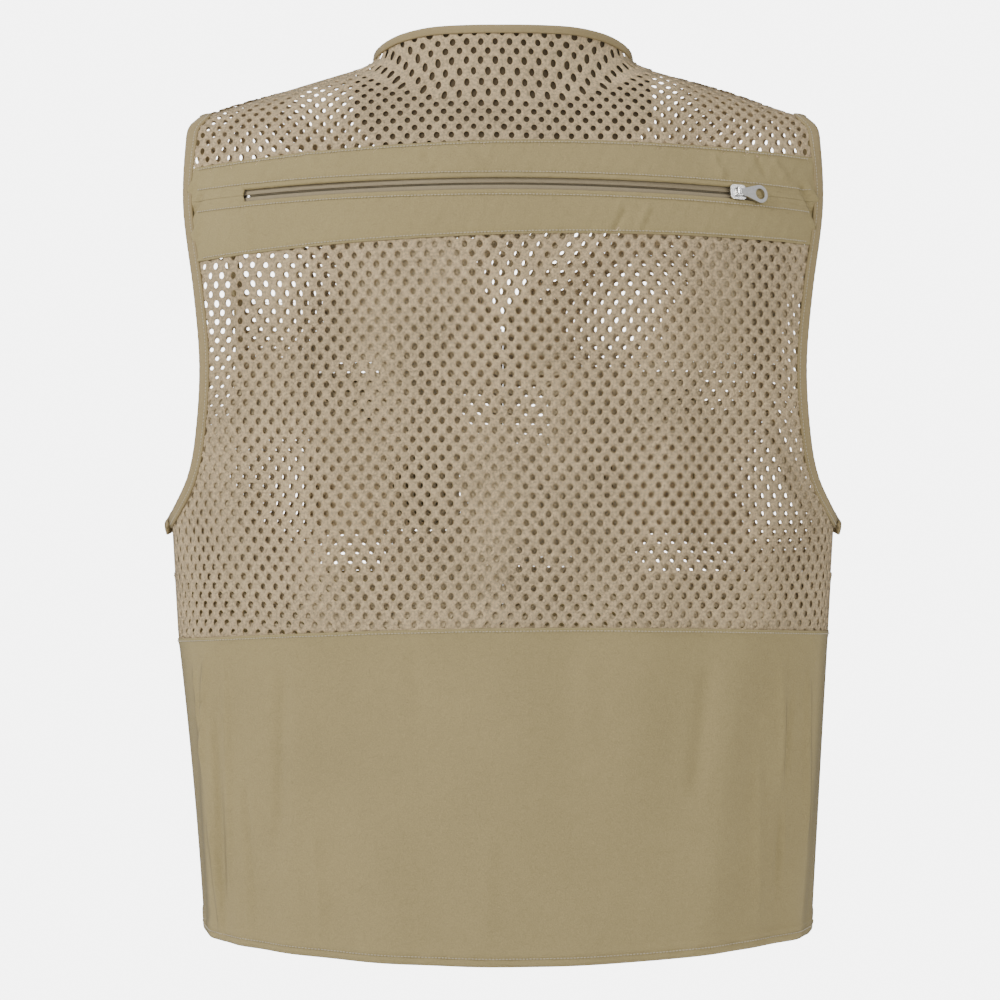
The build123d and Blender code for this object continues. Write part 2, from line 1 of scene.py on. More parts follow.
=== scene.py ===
import bmesh
import bpy
import math
import random
import numpy as np
from bpy.props import FloatProperty, FloatVectorProperty, IntProperty, PointerProperty
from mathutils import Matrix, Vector


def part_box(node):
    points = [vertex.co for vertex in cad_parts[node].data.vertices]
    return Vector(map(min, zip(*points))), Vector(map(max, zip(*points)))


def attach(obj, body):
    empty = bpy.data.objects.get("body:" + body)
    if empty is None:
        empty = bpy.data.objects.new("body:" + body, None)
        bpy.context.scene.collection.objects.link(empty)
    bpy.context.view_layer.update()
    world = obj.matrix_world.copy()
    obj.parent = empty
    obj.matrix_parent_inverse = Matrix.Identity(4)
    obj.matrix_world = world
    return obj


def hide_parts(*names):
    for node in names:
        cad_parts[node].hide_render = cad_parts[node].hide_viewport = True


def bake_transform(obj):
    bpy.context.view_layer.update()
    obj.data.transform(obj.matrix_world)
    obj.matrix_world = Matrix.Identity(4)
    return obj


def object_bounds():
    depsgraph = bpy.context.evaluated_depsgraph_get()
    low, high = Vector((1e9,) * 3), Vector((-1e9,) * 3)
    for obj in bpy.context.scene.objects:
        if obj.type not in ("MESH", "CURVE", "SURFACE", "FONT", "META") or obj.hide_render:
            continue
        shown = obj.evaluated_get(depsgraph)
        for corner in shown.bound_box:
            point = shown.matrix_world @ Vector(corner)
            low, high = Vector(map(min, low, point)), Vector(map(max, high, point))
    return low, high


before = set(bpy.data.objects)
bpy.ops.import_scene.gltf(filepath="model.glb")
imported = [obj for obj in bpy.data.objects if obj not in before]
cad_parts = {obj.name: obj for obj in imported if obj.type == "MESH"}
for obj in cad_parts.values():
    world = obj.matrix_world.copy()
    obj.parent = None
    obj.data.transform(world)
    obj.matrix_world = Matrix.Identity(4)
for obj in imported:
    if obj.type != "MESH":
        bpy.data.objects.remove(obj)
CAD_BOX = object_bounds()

bl_info = {
    "name": "Fishing vest",
    "version": (1, 0, 0),
    "blender": (4, 5, 0),
    "location": "View3D > Sidebar > Vest",
    "description": "Sews the cloth, net, bindings and stitching of a fishing vest round its solid model",
    "category": "Object",
}

SIDES = {"left": 1, "right": -1}
BACK = 1
FRONT = -1

# Outlines of the panels: distance from the middle and height, in metres
BACK_ARMHOLE = [(0.200, 0.000), (0.2275, -0.0375), (0.2365, -0.0475), (0.2390, -0.062), (0.240, -0.110),
                (0.2315, -0.173), (0.227, -0.226), (0.2295, -0.272), (0.237, -0.311), (0.256, -0.351)]
FRONT_ARMHOLE = [(0.200, 0.000), (0.2275, -0.0375), (0.2345, -0.0490), (0.2335, -0.065), (0.216, -0.125),
                 (0.207, -0.180), (0.206, -0.235), (0.214, -0.285), (0.232, -0.325), (0.256, -0.351)]
NECKLINE = [(0.0007, -0.186), (0.008, -0.178), (0.046, -0.112), (0.080, -0.048), (0.093, 0.005),
            (0.096, 0.040)]

# Heights and widths shared by several pieces, in metres
FRONT_EDGE = 0.0073             # free edge of a front, from the middle
FRONT_YOKE_SEAM = -0.178
FRONT_LOWER_SEAM = -0.385
HEM_DEPTH = 0.0118              # cloth turned up at the hem
HEM_STITCH = 0.0062             # hem stitching, above the hem
SEAM_STITCH = 0.0024            # topstitching, below the folded top of a lower panel
BAND_STITCH = 0.0022            # topstitching, inside the edges of the zip band
ARMHOLE_FOOT = -0.3475

# Back zip: its middle line is an arc on a tilted plane
SLOT_MIDDLE = -0.097
SLOT_RADIUS = 0.402
SLOT_TILT = math.radians(7)
SLOT_LEFT = math.radians(28.7)
SLOT_RIGHT = math.radians(27.8)
SLOT_HALF = 0.0043              # half of the gap between the band's lips
SLOT_STITCH = 0.0084            # topstitching, from the slot's middle

# Pockets: inner and outer edge, top, foot, depth at the top and at the foot, length of the flap
CHEST_POCKET = ("chest", 0.038, 0.148, -0.236, -0.350, 0.011, 0.022, 0.040)
LOWER_POCKET = ("lower", 0.034, 0.190, -0.410, -0.612, 0.013, 0.028, 0.062)
RING_HEIGHT = -0.203            # middle of the D-ring's bar
RING_LEVEL = 0.0040             # the same, out from the chest

# Creases: start, end, half-width and height, in metres on the cloth laid flat
BAND_CREASES = (
    ((0.262, -0.104), (0.246, -0.088), 0.0022, 0.0013), ((0.258, -0.122), (0.238, -0.098), 0.0026, -0.0012),
    ((0.251, -0.138), (0.240, -0.116), 0.0022, 0.0012), ((0.264, -0.128), (0.247, -0.133), 0.0020, 0.0010),
    ((-0.264, -0.112), (-0.240, -0.092), 0.0022, 0.0014),
    ((-0.258, -0.124), (-0.232, -0.088), 0.0024, -0.0012),
    ((-0.262, -0.134), (-0.243, -0.118), 0.0020, 0.0012),
    ((-0.225, -0.092), (-0.208, -0.074), 0.0022, 0.0010),
    ((-0.205, -0.090), (-0.194, -0.072), 0.0020, -0.0009),
    ((-0.168, -0.092), (-0.158, -0.072), 0.0024, 0.0007),
    ((-0.092, -0.112), (-0.080, -0.136), 0.0022, -0.0007),
    ((-0.110, -0.110), (-0.098, -0.134), 0.0022, 0.0007),
    ((0.030, -0.070), (0.014, -0.088), 0.0028, 0.0007), ((0.062, -0.072), (0.046, -0.088), 0.0028, -0.0007),
    ((0.200, -0.112), (0.190, -0.136), 0.0024, 0.0008), ((0.150, -0.070), (0.138, -0.086), 0.0030, 0.0006))
LOWER_CREASES = (
    ((0.243, -0.440), (0.256, -0.545), 0.0022, 0.0014), ((0.224, -0.438), (0.231, -0.640), 0.0026, 0.0011),
    ((0.236, -0.470), (0.240, -0.655), 0.0030, -0.0011), ((0.262, -0.450), (0.254, -0.530), 0.0020, 0.0010),
    ((0.250, -0.560), (0.243, -0.668), 0.0024, 0.0012), ((0.170, -0.436), (0.182, -0.600), 0.0060, -0.0013),
    ((0.212, -0.520), (0.205, -0.660), 0.0036, -0.0008), ((0.151, -0.560), (0.146, -0.664), 0.0050, 0.0007),
    ((-0.222, -0.436), (-0.238, -0.620), 0.0030, 0.0011),
    ((-0.236, -0.450), (-0.229, -0.640), 0.0030, -0.0010),
    ((-0.252, -0.445), (-0.260, -0.600), 0.0024, 0.0012),
    ((-0.205, -0.500), (-0.214, -0.660), 0.0040, 0.0008),
    ((-0.160, -0.440), (-0.150, -0.560), 0.0070, -0.0010),
    ((-0.060, -0.436), (-0.068, -0.520), 0.0080, 0.0007),
    ((0.070, -0.436), (0.062, -0.500), 0.0070, -0.0007), ((0.010, -0.560), (0.016, -0.668), 0.0070, 0.0006))


def lowest(node):
    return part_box(node)[0]


def highest(node):
    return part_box(node)[1]


# ---------------------------------------------------------------- settings

class VestForm(bpy.types.PropertyGroup):
    """Sizes of the body that the cloth hangs on."""
    half_width: FloatProperty(name="Half width", description="Half of the body's width at the chest",
                              default=0.252, unit="LENGTH")
    half_depth: FloatProperty(name="Half depth", description="Half of the body's depth at the chest",
                              default=0.118, unit="LENGTH")
    waist_taper: FloatProperty(name="Waist taper", description="Half-width lost per metre below the chest",
                               default=0.056)
    chest_height: FloatProperty(name="Chest height", description="Height where the taper starts",
                                default=-0.340, unit="LENGTH")
    shoulder_drop: FloatProperty(name="Shoulder drop", description="Height of the rounded shoulders",
                                 default=0.150, unit="LENGTH")
    ridge_top: FloatProperty(name="Ridge top", description="Height where the shoulder lines would meet",
                             default=0.0375, unit="LENGTH")
    ridge_slope: FloatProperty(name="Ridge slope", description="Fall of the shoulder line", default=0.326)
    ridge_blend: FloatProperty(name="Ridge blend", description="Half-width of the ridge's rounded middle",
                               default=0.060, unit="LENGTH")
    knee: FloatProperty(name="Knee", description="Height above which cloth is measured along its curve",
                        default=-0.060, unit="LENGTH")
    neck_half_width: FloatProperty(name="Neck half width", description="Half-width of the collar",
                                   default=0.0976, unit="LENGTH")
    neck_half_depth: FloatProperty(name="Neck half depth", description="Half-depth of the collar",
                                   default=0.0756, unit="LENGTH")
    neck_flare: FloatProperty(name="Neck flare", description="How far the collar's foot spreads on the yoke",
                              default=0.016, unit="LENGTH")
    collar_lean: FloatProperty(name="Collar lean", description="Inward lean of the collar's top",
                               default=0.006, unit="LENGTH")


class VestCloth(bpy.types.PropertyGroup):
    """Sizes of the cloth, the net and the sewing."""
    thickness: FloatProperty(name="Cloth", description="Thickness of the plain cloth", default=0.0009,
                             unit="LENGTH")
    pitch: FloatProperty(name="Net pitch", description="Distance between neighbouring holes of a row",
                         default=0.0110, unit="LENGTH")
    row: FloatProperty(name="Net rows", description="Distance between rows of holes", default=0.0068,
                       unit="LENGTH")
    hole_width: FloatProperty(name="Hole width", description="Width of a hole", default=0.0043, unit="LENGTH")
    hole_height: FloatProperty(name="Hole height", description="Height of a hole", default=0.0051,
                               unit="LENGTH")
    binding: FloatProperty(name="Binding", description="Width of the bound edges", default=0.009,
                           unit="LENGTH")
    stitch: FloatProperty(name="Stitch", description="Length of a stitch with its gap", default=0.0025,
                          unit="LENGTH")
    tuck: FloatProperty(name="Tuck", description="Net that lies under a plain panel's edge", default=0.005,
                        unit="LENGTH")
    seed: IntProperty(name="Seed", description="Seed of the small irregularities", default=7)


class VestColours(bpy.types.PropertyGroup):
    """Colours of the finishes."""
    nylon: FloatVectorProperty(name="Nylon", description="Plain crinkled cloth", subtype="COLOR",
                               default=(0.400, 0.318, 0.150))
    net: FloatVectorProperty(name="Net", description="Knitted net", subtype="COLOR",
                             default=(0.920, 0.700, 0.405))
    # Painted light: the pocket net is the same yarn as the outer net, given a lighter colour to offset the
    # shade it lies in behind the outer net
    inner_net: FloatVectorProperty(name="Inner net", description="Net in the back pocket", subtype="COLOR",
                                   default=(0.950, 0.740, 0.430))
    binding: FloatVectorProperty(name="Binding", description="Edge binding", subtype="COLOR",
                                 default=(0.350, 0.270, 0.135))
    thread: FloatVectorProperty(name="Thread", description="Topstitching", subtype="COLOR",
                                default=(0.500, 0.425, 0.270))
    tape: FloatVectorProperty(name="Zip tape", description="Twill tape of the zips", subtype="COLOR",
                              default=(0.350, 0.285, 0.180))
    dark: FloatVectorProperty(name="Bristle", description="Hook-and-loop patches", subtype="COLOR",
                              default=(0.200, 0.165, 0.100))
    # Painted shade: this colour is near black so that the cloth inside the collar stands for the deep shade
    # inside the vest, seen through the net
    facing: FloatVectorProperty(name="Facing", description="Plain cloth inside the collar", subtype="COLOR",
                                default=(0.110, 0.078, 0.040))
    metal: FloatVectorProperty(name="Metal", description="Plated sliders and ring", subtype="COLOR",
                               default=(0.780, 0.770, 0.750))


def form():
    return bpy.context.scene.vest_form


def cloth():
    return bpy.context.scene.vest_cloth


# ---------------------------------------------------------------- the form of the body

def ridge(x):
    """Height of the shoulder line."""
    f = form()
    return f.ridge_top - f.ridge_slope * np.hypot(x, f.ridge_blend)


def half_width(z):
    f = form()
    return f.half_width - f.waist_taper * np.maximum(0.0, f.chest_height - z)


def depth_squared(x, z):
    """Square of the body's depth, which falls through nought smoothly past its outline."""
    f = form()
    rise = np.clip((z - ridge(x) + f.shoulder_drop) / f.shoulder_drop, 0.0, None)
    return f.half_depth ** 2 * (1 - (x / half_width(z)) ** 2) * (1 - rise ** 2)


def outward(points):
    """Directions that point out of the body at points on it."""
    x, y, z = points.T
    e = 0.0005
    slope_x = (depth_squared(x + e, z) - depth_squared(x - e, z)) / (2 * e)
    slope_z = (depth_squared(x, z + e) - depth_squared(x, z - e)) / (2 * e)
    n = np.stack([-slope_x, 2 * y, -slope_z], axis=1)
    return n / np.linalg.norm(n, axis=1)[:, None]


def girth_table():
    """Turn angles and the cloth's length from the middle to each, across the chest."""
    f = form()
    turn = np.linspace(0, math.pi / 2, 721)
    step = np.hypot(f.half_width * np.cos(turn), f.half_depth * np.sin(turn))
    length = np.concatenate([[0], np.cumsum((step[1:] + step[:-1]) / 2) * (turn[1] - turn[0])])
    return turn, length


def side_length():
    """Length of cloth from the middle of the back to the side seam."""
    return girth_table()[1][-1]


def across_of(x, z):
    """Distance across the cloth of a place at x."""
    turn, length = girth_table()
    angle = np.arcsin(np.clip(x / half_width(z), -1, 1))
    return np.sign(x) * np.interp(np.abs(angle), turn, length)


def on_form(u, v, side, inset=0.0):
    """Points of the body's form from cloth places: u across from the middle, v up. Above the knee
    v is measured along the cloth as it bends over the shoulder."""
    f = form()
    turns, lengths = girth_table()
    turn = np.interp(np.abs(u), lengths, turns) * np.sign(u)
    upright = ridge(f.half_width * np.sin(turn)) - f.shoulder_drop
    low = np.minimum(v, f.knee)
    lean = np.arccos(np.clip((low - upright) / f.shoulder_drop, 0, 1))
    deep = f.half_depth * np.cos(turn)

    def rate(angle):
        return np.maximum(np.hypot(deep * np.cos(angle), f.shoulder_drop * np.sin(angle)), 0.02)

    step = np.maximum(v - f.knee, 0) / 16
    for _ in range(16):
        middle = lean - step / 2 / rate(lean)
        lean = lean - step / rate(middle)
    z = np.where(low <= upright, v, upright + (f.shoulder_drop - inset) * np.cos(lean))
    x = (half_width(z) - inset) * np.sin(turn)
    y = side * (f.half_depth - inset) * np.cos(turn) * np.sin(lean)
    return np.stack([x, y, z], axis=1)


def at_height(x, z, side):
    """Points of the form at given distances from the middle and heights."""
    y = side * np.sqrt(np.maximum(depth_squared(x, z), 0))
    return np.stack([x, y, z], axis=1)


def smooth_line(points, steps=14):
    """Dense points of a smooth curve through a few."""
    p = np.array([points[0]] + list(points) + [points[-1]], float)
    rows = []
    for i in range(1, len(p) - 2):
        t = np.linspace(0, 1, steps, endpoint=False)[:, None]
        a, b, c, d = p[i - 1], p[i], p[i + 1], p[i + 2]
        rows.append(0.5 * (2 * b + (c - a) * t + (2 * a - 5 * b + 4 * c - d) * t ** 2
                           + (3 * b - a - 3 * c + d) * t ** 3))
    return np.vstack(rows + [p[-1:]])


def edge_at(outline, z):
    """Distance from the middle of an outline at height z."""
    line = smooth_line(outline)
    line = line[np.argsort(line[:, 1])]
    return np.interp(z, line[:, 1], line[:, 0])


def seam(middle, sides, x):
    """Height of a seam that bows from its middle to its sides."""
    return middle + (sides - middle) * (x / form().half_width) ** 2


def yoke_seam(x):
    return seam(-0.0645, -0.078, x) - 0.0045 * x / form().half_width


def band_seam(x):
    return seam(-0.135, -0.1475, x) - 0.0071 * x / form().half_width


def lower_seam(x):
    return seam(-0.424, -0.432, x) - 0.003 * x / form().half_width


def hem_line(x, u):
    """Height of the hem, which turns up in a rounded corner at each side seam."""
    corner = np.clip((np.abs(u) / side_length() - 0.93) / 0.07, 0, 1)
    return seam(-0.673, -0.657, x) + 0.008 * (1 - np.sqrt(1 - corner ** 2 * 0.999))


def wave(u, v, length, angle, phase):
    """Plain wave across the cloth."""
    along = u * math.cos(angle) + v * math.sin(angle)
    return np.sin(2 * math.pi * along / length + phase)


def bump(value, middle, width):
    return np.exp(-((value - middle) / width) ** 2)


def crease(u, v, start, end, width, height):
    """Ridge or dent along a straight line from start to end that fades at both."""
    run = np.array(end) - np.array(start)
    length = np.hypot(*run)
    along = ((u - start[0]) * run[0] + (v - start[1]) * run[1]) / length ** 2
    off = ((v - start[1]) * run[0] - (u - start[0]) * run[1]) / length
    fade = np.clip(along * 4, 0, 1) * np.clip((1 - along) * 4, 0, 1)
    fade = fade * fade * (3 - 2 * fade)
    return 1.5 * height * fade * np.exp(-(off / width) ** 2)


def drawn_in(u, v):
    """How far the cloth of the left side is drawn in towards the hem."""
    drawn = np.clip((-0.43 - v) / 0.24, 0, 1) * np.clip((u - 0.225) / 0.06, 0, 1)
    return 0.0075 * drawn * (2 - drawn)


def folds(u, v, side):
    """How far the cloth stands off the form: broad soft folds, shared by all panels of a side."""
    hang = np.clip((-0.10 - v) / 0.25, 0, 1)
    pinned = np.clip((side_length() - np.abs(u)) / 0.04, 0, 1)
    if side == BACK:
        swell = 0.0028 * bump(u, 0.135, 0.030) * bump(v, -0.30, 0.14)
        swell = swell + 0.0030 * bump(u, -0.125, 0.026) * bump(v, -0.30, 0.13)
        swell = swell - 0.0022 * bump(u, 0.060, 0.030) * bump(v, -0.26, 0.12)
        swell = swell - 0.0020 * bump(u, -0.060, 0.030) * bump(v, -0.33, 0.12)
    else:
        swell = 0.0015 * wave(u, v, 0.19, 0.1, 0.8)
    soft = 0.0011 * wave(u, v, 0.083, 0.13, 1.0) + 0.0008 * wave(u, v, 0.131, -0.22, 2.2)
    low = np.clip((-0.44 - v) / 0.06, 0, 1)
    side_fold = low * (0.0012 * wave(u, v, 0.047, 0.10, 0.4) * bump(np.abs(u), 0.24, 0.07)
                       + 0.0006 * wave(u, v, 0.071, -0.06, 1.9))
    held = bump(v, -0.40, 0.03) * np.clip((0.235 - np.abs(u)) / 0.03, 0, 1) * (side == FRONT)
    return (swell + hang * soft + side_fold) * pinned * (1 - 0.85 * held) - drawn_in(u, v)


def band_creases(u, v):
    """Diagonal pinches of the plain band, strongest near the armholes."""
    total = 0.00018 * wave(u, v, 0.0115, 0.5, 0.3) * wave(u, v, 0.043, -0.2, 1.0)
    for start, end, width, height in BAND_CREASES:
        total = total + crease(u, v, start, end, width, height)
    return total


def lower_creases(u, v):
    """Long upright creases of the plain lower panel, near its sides and along the hem."""
    total = 0.0
    for start, end, width, height in LOWER_CREASES:
        total = total + 1.5 * crease(u, v, start, end, width, height)
    return total


# ---------------------------------------------------------------- making meshes

def trim(points, faces, keep):
    """Cuts four-sided faces along the line where keep, one value per point, passes through nought."""
    inside = keep > 0
    of_face = inside[faces]
    whole = of_face.all(axis=1)
    kept = faces[whole].tolist()
    added = []
    cuts = {}
    for face in faces[of_face.any(axis=1) & ~whole].tolist():
        ring = []
        for a, b in zip(face, face[1:] + face[:1]):
            if inside[a]:
                ring.append(a)
            if inside[a] != inside[b]:
                key = (min(a, b), max(a, b))
                if key not in cuts:
                    share = keep[key[0]] / (keep[key[0]] - keep[key[1]])
                    cuts[key] = len(points) + len(added)
                    added.append(points[key[0]] + (points[key[1]] - points[key[0]]) * share)
                ring.append(cuts[key])
        kept.append(ring)
    if added:
        points = np.vstack([points, added])
    used = np.unique(np.concatenate([np.array(face) for face in kept]))
    place = np.full(len(points), -1)
    place[used] = np.arange(len(used))
    return points[used], [place[face].tolist() for face in kept]


def plain_grid(columns, rows):
    """Rectangular grid of cloth places, with its four-sided faces."""
    u, v = np.meshgrid(columns, rows, indexing="ij")
    points = np.stack([u.ravel(), v.ravel(), np.zeros(u.size)], axis=1)
    n = len(rows)
    start = (np.arange(len(columns) - 1)[:, None] * n + np.arange(n - 1)[None, :]).ravel()
    return points, np.stack([start, start + n, start + n + 1, start + 1], axis=1)


def net_lattice(u_span, v_span, phase=(0.0, 0.0), points_round=14, scale=1.0):
    """Cloth places and faces of a knitted net with staggered oval holes. Each hole has three rings:
    the shared outline of its cell, the crown of the yarn round it and the hole's own edge."""
    c = cloth()
    pitch = c.pitch * scale
    row = c.row * scale
    tall = (pitch ** 2 / 4 + row ** 2) / (2 * row)
    short = ((pitch ** 2 / 4 + row ** 2) / 2 - pitch ** 2 / 4) / row
    parts = (points_round - 2) // 4
    slope = [(pitch / 2 * i / parts, tall + (short - tall) * i / parts) for i in range(parts + 1)]
    right = slope + [(x, -y) for x, y in slope[::-1]]
    cell = np.array(right + [(-x, y) for x, y in right[::-1]][1:-1])
    angle = np.arctan2(cell[:, 1] / tall, cell[:, 0] / (pitch / 2))
    hole = np.stack([c.hole_width * scale / 2 * np.cos(angle),
                     c.hole_height * scale / 2 * np.sin(angle)], axis=1)
    j = np.arange(math.floor(v_span[0] / row), math.ceil(v_span[1] / row) + 1)
    i = np.arange(math.floor(u_span[0] / pitch) - 1, math.ceil(u_span[1] / pitch) + 2)
    jj, ii = np.meshgrid(j, i, indexing="ij")
    centres = np.stack([(ii + (jj % 2) / 2).ravel() * pitch, jj.ravel() * row], axis=1)
    draw = np.random.default_rng(c.seed)
    size = 1 + draw.uniform(-0.07, 0.07, (len(centres), 1, 1))
    nudge = draw.uniform(-0.00018, 0.00018, (len(centres), 1, 2))
    outline = centres[:, None, :] + cell[None]
    edge = centres[:, None, :] + hole[None] * size + nudge
    crown = outline * 0.45 + edge * 0.55
    count = len(cell)
    flat = outline.reshape(-1, 2)
    _, first, place = np.unique(np.round(flat / 1e-6).astype(np.int64), axis=0, return_index=True,
                                return_inverse=True)
    place = place.ravel().reshape(len(centres), count)
    shared = np.column_stack([flat[first], np.full(len(first), -0.00005)])
    crowns = np.column_stack([crown.reshape(-1, 2), np.full(crown.shape[0] * count, 0.00055)])
    edges = np.column_stack([edge.reshape(-1, 2), np.full(edge.shape[0] * count, -0.00065)])
    points = np.vstack([shared, crowns, edges])
    crown_at = len(shared) + np.arange(len(crowns)).reshape(-1, count)
    edge_place = crown_at + len(crowns)
    faces = []
    for inner, outer in ((crown_at, place), (edge_place, crown_at)):
        ring = [outer, np.roll(outer, -1, 1), np.roll(inner, -1, 1), inner]
        faces.append(np.stack(ring, axis=2).reshape(-1, 4))
    faces = np.vstack(faces)[:, ::-1]
    points[:, 0] += phase[0] + 0.0007 * np.sin(points[:, 1] * 41 + 1) + 0.0005 * np.sin(points[:, 0] * 29)
    points[:, 1] += phase[1] + 0.0006 * np.sin(points[:, 0] * 37) + 0.0004 * np.sin(points[:, 1] * 53 + 2)
    return points, faces


def lay(points, side, inset=0.0, extra=None):
    """World places of cloth points on the form, with its folds, and the outward directions there."""
    u, v, lift = points.T
    base = on_form(u, v, side)
    n = outward(base)
    rise = lift + folds(u, v, side) - inset
    if extra is not None:
        rise = rise + extra
    return base + n * rise[:, None], n


def thickened(places, normals, faces, thickness):
    """Closed sheet: the cloth's outer face, its inner face and the edge between them."""
    count = len(places)
    both = np.vstack([places, places - normals * thickness])
    edges = {}
    for face in faces:
        for a, b in zip(face, face[1:] + face[:1]):
            if (b, a) in edges:
                del edges[(b, a)]
            else:
                edges[(a, b)] = True
    inner = [[i + count for i in face[::-1]] for face in faces]
    rim = [[b, a, a + count, b + count] for a, b in edges]
    return both, list(faces) + inner + rim


def new_piece(name, places, faces, material, rides, stands_for=(), flat=None, closed=False):
    """Mesh piece with its finish, its body and the solid nodes it stands for. flat holds the cloth
    places that the weave follows."""
    mesh = bpy.data.meshes.new(name)
    mesh.from_pydata(np.asarray(places).tolist(), [], [list(face) for face in faces])
    mesh.validate()
    if closed:
        solid = bmesh.new()
        solid.from_mesh(mesh)
        bmesh.ops.recalc_face_normals(solid, faces=solid.faces)
        solid.to_mesh(mesh)
        solid.free()
    mesh.shade_smooth()
    if flat is not None:
        layer = mesh.uv_layers.new(name="cloth")
        corner = np.empty(len(mesh.loops), dtype=np.int64)
        mesh.loops.foreach_get("vertex_index", corner)
        layer.data.foreach_set("uv", np.asarray(flat)[corner % len(flat), :2].ravel())
    piece = bpy.data.objects.new(name, mesh)
    bpy.context.scene.collection.objects.link(piece)
    mesh.materials.append(material)
    if isinstance(rides, tuple):
        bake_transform(piece)
    else:
        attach(piece, rides)
    if stands_for:
        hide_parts(*stands_for)
    return piece


def on_side(faces, side):
    """Faces turned so that they look out of the body."""
    return [list(face)[::-1] for face in faces] if side == BACK else [list(face) for face in faces]


def swept(path, outs, section, closed_ends=True):
    """Bar along a path. Section points are given along the way across the path and outward."""
    path = np.asarray(path)
    run = np.gradient(path, axis=0)
    run /= np.linalg.norm(run, axis=1)[:, None]
    outs = outs - run * np.sum(outs * run, axis=1)[:, None]
    outs /= np.linalg.norm(outs, axis=1)[:, None]
    across = np.cross(outs, run)
    section = np.asarray(section)
    if section.ndim == 2:
        section = np.repeat(section[None], len(path), axis=0)
    rings = path[:, None, :] + across[:, None, :] * section[:, :, :1] + outs[:, None, :] * section[:, :, 1:]
    k = section.shape[1]
    faces = []
    for i in range(len(path) - 1):
        for j in range(k):
            a, b = i * k + j, i * k + (j + 1) % k
            faces.append([a, b, b + k, a + k])
    if closed_ends:
        faces.append(list(range(k))[::-1])
        faces.append([(len(path) - 1) * k + j for j in range(k)])
    return rings.reshape(-1, 3), faces


def even(path, step):
    """Points at even steps along a path, and the same for anything that goes with it."""
    path = np.asarray(path)
    length = np.concatenate([[0], np.cumsum(np.linalg.norm(np.diff(path[:, :3], axis=0), axis=1))])
    count = max(int(round(length[-1] / step)), 1)
    at = np.linspace(0, length[-1], count + 1)
    return np.stack([np.interp(at, length, column) for column in path.T], axis=1)


def stitch_run(path, outs, draw):
    """Row of small raised stitches along a path on the cloth."""
    c = cloth()
    line = even(np.hstack([path, outs]), c.stitch)
    places = []
    faces = []
    for a, b in zip(line[:-1], line[1:]):
        run = b[:3] - a[:3]
        length = np.linalg.norm(run)
        run = run / length
        out = a[3:] / np.linalg.norm(a[3:])
        across = np.cross(out, run)
        middle = (a[:3] + b[:3]) / 2 + across * draw.uniform(-0.00008, 0.00008)
        start = len(places)
        for t, r in ((-0.36, 0.4), (-0.24, 1.0), (0.24, 1.0), (0.36, 0.4)):
            for k in range(5):
                angle = 2 * math.pi * k / 5 + 0.3
                side_step = across * math.cos(angle) * 0.00045 * r
                rise = out * (math.sin(angle) * 0.00040 * r + 0.00022 * r)
                places.append(middle + run * t * length + side_step + rise)
        for ring in range(3):
            for k in range(5):
                p = start + ring * 5 + k
                q = start + ring * 5 + (k + 1) % 5
                faces.append([p, q, q + 5, p + 5])
        faces.append([start + k for k in range(5)][::-1])
        faces.append([start + 15 + k for k in range(5)])
    return np.array(places), faces


def ribbon(name, path, outs, width, thickness, look, rides, stands_for=(), spacing=0.002):
    """Flat tape along a path, with softened edges and a slight ripple."""
    line = even(np.hstack([path, outs]), spacing)
    path, outs = line[:, :3], line[:, 3:]
    w, t = width / 2, thickness / 2
    section = np.array([(-w, 0), (-w + t * 0.6, t), (-w * 0.5, t), (0, t), (w * 0.5, t), (w - t * 0.6, t),
                        (w, 0), (w - t * 0.6, -t), (0, -t), (-w + t * 0.6, -t)])
    section = np.repeat(section[None], len(path), axis=0)
    step = np.arange(len(path))
    section[:, :, 1] += (0.12 * thickness * np.sin(step * 0.9) * np.sin(step * 0.17 + 1))[:, None]
    places, faces = swept(path, outs, section)
    flat = np.repeat(step[:, None] * spacing, section.shape[1], axis=1)
    flat = np.stack([section[:, :, 0], flat], axis=2).reshape(-1, 2)
    return new_piece(name, places, faces, finish(look), rides, stands_for, flat, closed=True)


def coil(name, path, outs, half_width, height, pitch, rides, stands_for):
    """Zip coil along a path: a rail of narrow rounded teeth."""
    line = even(np.hstack([path, outs]), pitch / 4)
    path, outs = line[:, :3], line[:, 3:]
    turn = np.linspace(0, 2 * math.pi, 9)[:-1]
    ring = np.stack([np.cos(turn) * half_width, np.sin(turn) * height / 2], axis=1)
    swell = np.array([1.0, 0.86, 0.62, 0.86])[np.arange(len(path)) % 4]
    section = ring[None] * np.stack([0.8 + 0.2 * swell, swell], axis=1)[:, None, :]
    places, faces = swept(path, outs, section)
    return new_piece(name, places, faces, finish("coil"), rides, stands_for, places[:, [0, 2]],
                     closed=True)


def stitching(name, runs, rides):
    """One piece with every row of stitches that goes with a panel."""
    draw = random.Random(cloth().seed)
    places = []
    faces = []
    total = 0
    for path, outs in runs:
        more, ring = stitch_run(path, outs, draw)
        faces += [[i + total for i in face] for face in ring]
        places.append(more)
        total += len(more)
    places = np.vstack(places)
    return new_piece(name, places, faces, finish("thread"), rides, flat=places[:, [0, 2]])


# ---------------------------------------------------------------- finishes

FINISHES = {}


def finish(name):
    return FINISHES[name]


def node(tree, kind, place=(0, 0), **settings):
    made = tree.nodes.new(kind)
    made.location = place
    for key, value in settings.items():
        setattr(made, key, value)
    return made


def new_group(name, inputs, outputs):
    """Shader node group with named sockets: (name, kind, default)."""
    tree = bpy.data.node_groups.new(name, "ShaderNodeTree")
    for label, kind, default in inputs:
        socket = tree.interface.new_socket(label, in_out="INPUT", socket_type=kind)
        if default is not None:
            socket.default_value = default
    for label, kind in outputs:
        tree.interface.new_socket(label, in_out="OUTPUT", socket_type=kind)
    return tree, node(tree, "NodeGroupInput", (-900, 0)), node(tree, "NodeGroupOutput", (900, 0))


